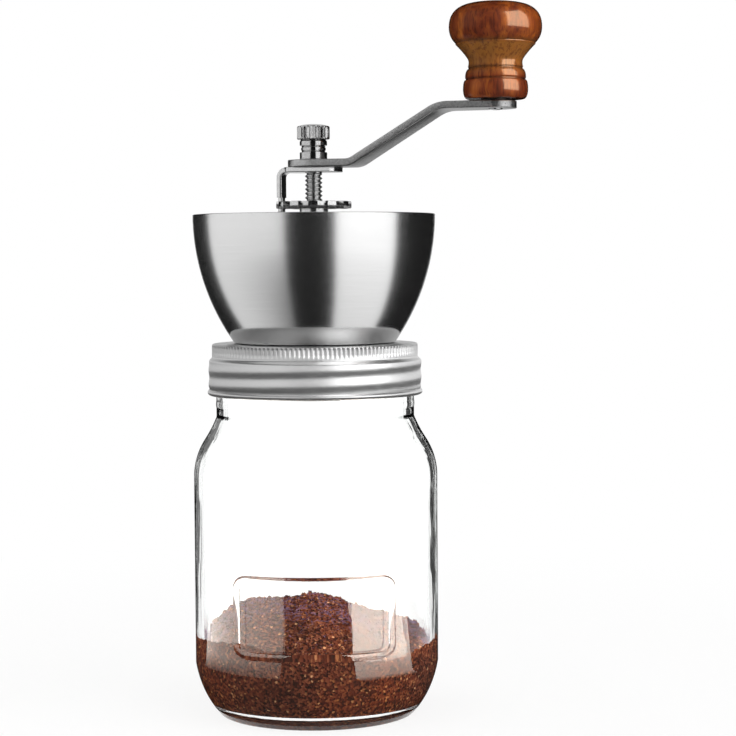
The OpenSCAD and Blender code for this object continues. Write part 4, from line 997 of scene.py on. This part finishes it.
def softbox(name, direction, distance, width, height, radiance):
    """A large even lamp that only lights what is matte."""
    lamp = bpy.data.lights.new(name, "AREA")
    lamp.shape, lamp.size, lamp.size_y = "RECTANGLE", width, height
    lamp.energy = radiance * math.pi * width * height
    a = math.radians(direction - 90)
    spot = Vector((distance * math.cos(a), distance * math.sin(a), SOFTBOX_Z))
    holder = show(bpy.data.objects.new(name, lamp))
    holder.location = spot
    holder.rotation_euler = (AIM - spot).to_track_quat("-Z", "Y").to_euler()
    for ray in ("camera", "glossy", "transmission"):
        setattr(holder, "visible_" + ray, False)


def surroundings():
    """Plain white for rays that see the background, and an even soft light for the rest."""
    world = bpy.data.worlds.new("studio")
    world.use_nodes = True
    tree = world.node_tree
    light = tree.nodes["Background"]
    mixed = tree.nodes.new("ShaderNodeMix")
    mixed.data_type = "RGBA"
    tree.links.new(backdrop_rays(tree), mixed.inputs[0])
    mixed.inputs[6].default_value = grey(0.36)
    mixed.inputs[7].default_value = grey(1.0)
    tree.links.new(mixed.outputs[2], light.inputs["Color"])
    tree.links.new(backdrop_glow(tree), light.inputs["Strength"])
    bpy.context.scene.world = world


def camera():
    """The photograph's view: 0.74 m away, looking 3 degrees down."""
    eye = bpy.data.cameras.new("camera")
    eye.sensor_width, eye.lens = 36, 102.7
    eye.clip_end = 50
    holder = show(bpy.data.objects.new("camera", eye))
    pitch, roll = math.radians(-3.03), math.radians(-0.35)
    holder.matrix_world = (Matrix.Translation((0.0186, -0.737, 0.160))
                           @ Matrix.Rotation(math.pi / 2 + pitch, 4, "X")
                           @ Matrix.Rotation(roll, 4, "Z"))
    bpy.context.scene.camera = holder


white_floor()
BAND, KNOB = [rolled_band], [wooden_knob]
OWN = [rolled_band, wooden_knob, jar]    # these have their own cards
folded_card("card_front", LOW, [(-31, 34, DARK, DARK), (-28, 30, DARK, DARK), (DARK_FROM, 24, DARK, DARK),
                                (DARK_FROM, BRIGHT_FROM, DARK, DARK), (DARK_FROM, BRIGHT_FROM, DARK, DARK)])
even_card("card_right", BRIGHT_TO, BACK_FROM, DARK, rays=("glossy",))
even_card("card_back", BACK_FROM, BACK_TO, 0.75, rays=("glossy",), hidden_from=OWN)
even_card("card_rear", BACK_TO, LEFT_FROM, DARK, rays=("glossy",))
folded_card("card_left", OVER_LOW, [
    (-109, -31, 0.66, 0.10), (-109, -28, 0.80, 0.18), (-111, DARK_FROM, 0.88, 0.30),
    (-115, DARK_FROM, 1.0, 0.9), (-116, DARK_FROM, 1.06, 1.0)], hidden_from=OWN)
folded_card("card_bright", OVER_LOW, [
    (34, 97, 0.95, 0.95), (30, 95, 0.95, 0.95), (24, 93, 1.08, 1.08),
    (BRIGHT_FROM, 85, 1.42, 1.42), (BRIGHT_FROM, BRIGHT_TO, 1.52, 1.52)], hidden_from=OWN)
ceiling("ceiling", 0, 360, 0.3, near=0.001, far=FAR, height=TOP, hidden_from=OWN)
WARM, AMBER = (1.08, 1.0, 0.9, 1), (1.3, 0.9, 0.58, 1)
folded_card("window_left", WINDOW_LOW, [(-112, -28, 0.3, 0.3), (-112, -28, 3.0, 1.6), (-112, -28, 3.9, 3.9)],
            (0.12, 0.155, 1.68), seen_by=[jar], tint=WARM)
folded_card("window_right", WINDOW_LOW, [(34, 88, 0.3, 0.3), (32, 88, 4.0, 3.2), (31, 88, 7.0, 6.5),
                                         (31, 88, 7.5, 7.5)],
            (0.085, 0.13, 0.17, 1.68), seen_by=[jar], tint=WARM)
even_card("edge_left", 199, 216, 0.25, EDGE_NEAR, FAR, rays=("transmission",))
even_card("edge_right", 144, 160, 0.08, EDGE_NEAR, FAR, rays=("transmission",))
wall("knob_left", -95, -38, 0.18, 0.05, seen_by=KNOB, tint=AMBER)
wall("knob_right", 28, 86, 7.8, 5.0, height=2.2, seen_by=KNOB, tint=AMBER)
even_card("band_floor", -180, 180, 0.1, EDGE_NEAR, 1.6, low=0.001, high=0.01, rays=("glossy",), seen_by=BAND)
for name, start, end, glow_start, glow_end in (
        ("band_left", -140, DARK_FROM, 0.78, 1.1), ("band_front", DARK_FROM, BRIGHT_FROM, 0.74, 0.74),
        ("band_bright", BRIGHT_FROM, BRIGHT_TO, 2.6, 2.6), ("band_right", BRIGHT_TO, 220, 1.1, 0.6)):
    wall(name, start, end, glow_start, glow_end, height=1.1, seen_by=BAND)
OVER_BAND = dict(near=0.1, far=WALL, height=2.3, seen_by=BAND)
ceiling("band_over_left", -140, DARK_FROM, 0.9, **OVER_BAND)
ceiling("band_over_right", BRIGHT_FROM, BRIGHT_TO, 3.4, **OVER_BAND)
softbox("softbox_left", -77, distance=0.85, width=2.1, height=2.0, radiance=1.0)
softbox("softbox_right", 52.5, distance=0.95, width=1.17, height=1.8, radiance=2.0)
surroundings()
camera()
bpy.context.scene.view_settings.view_transform = "Standard"
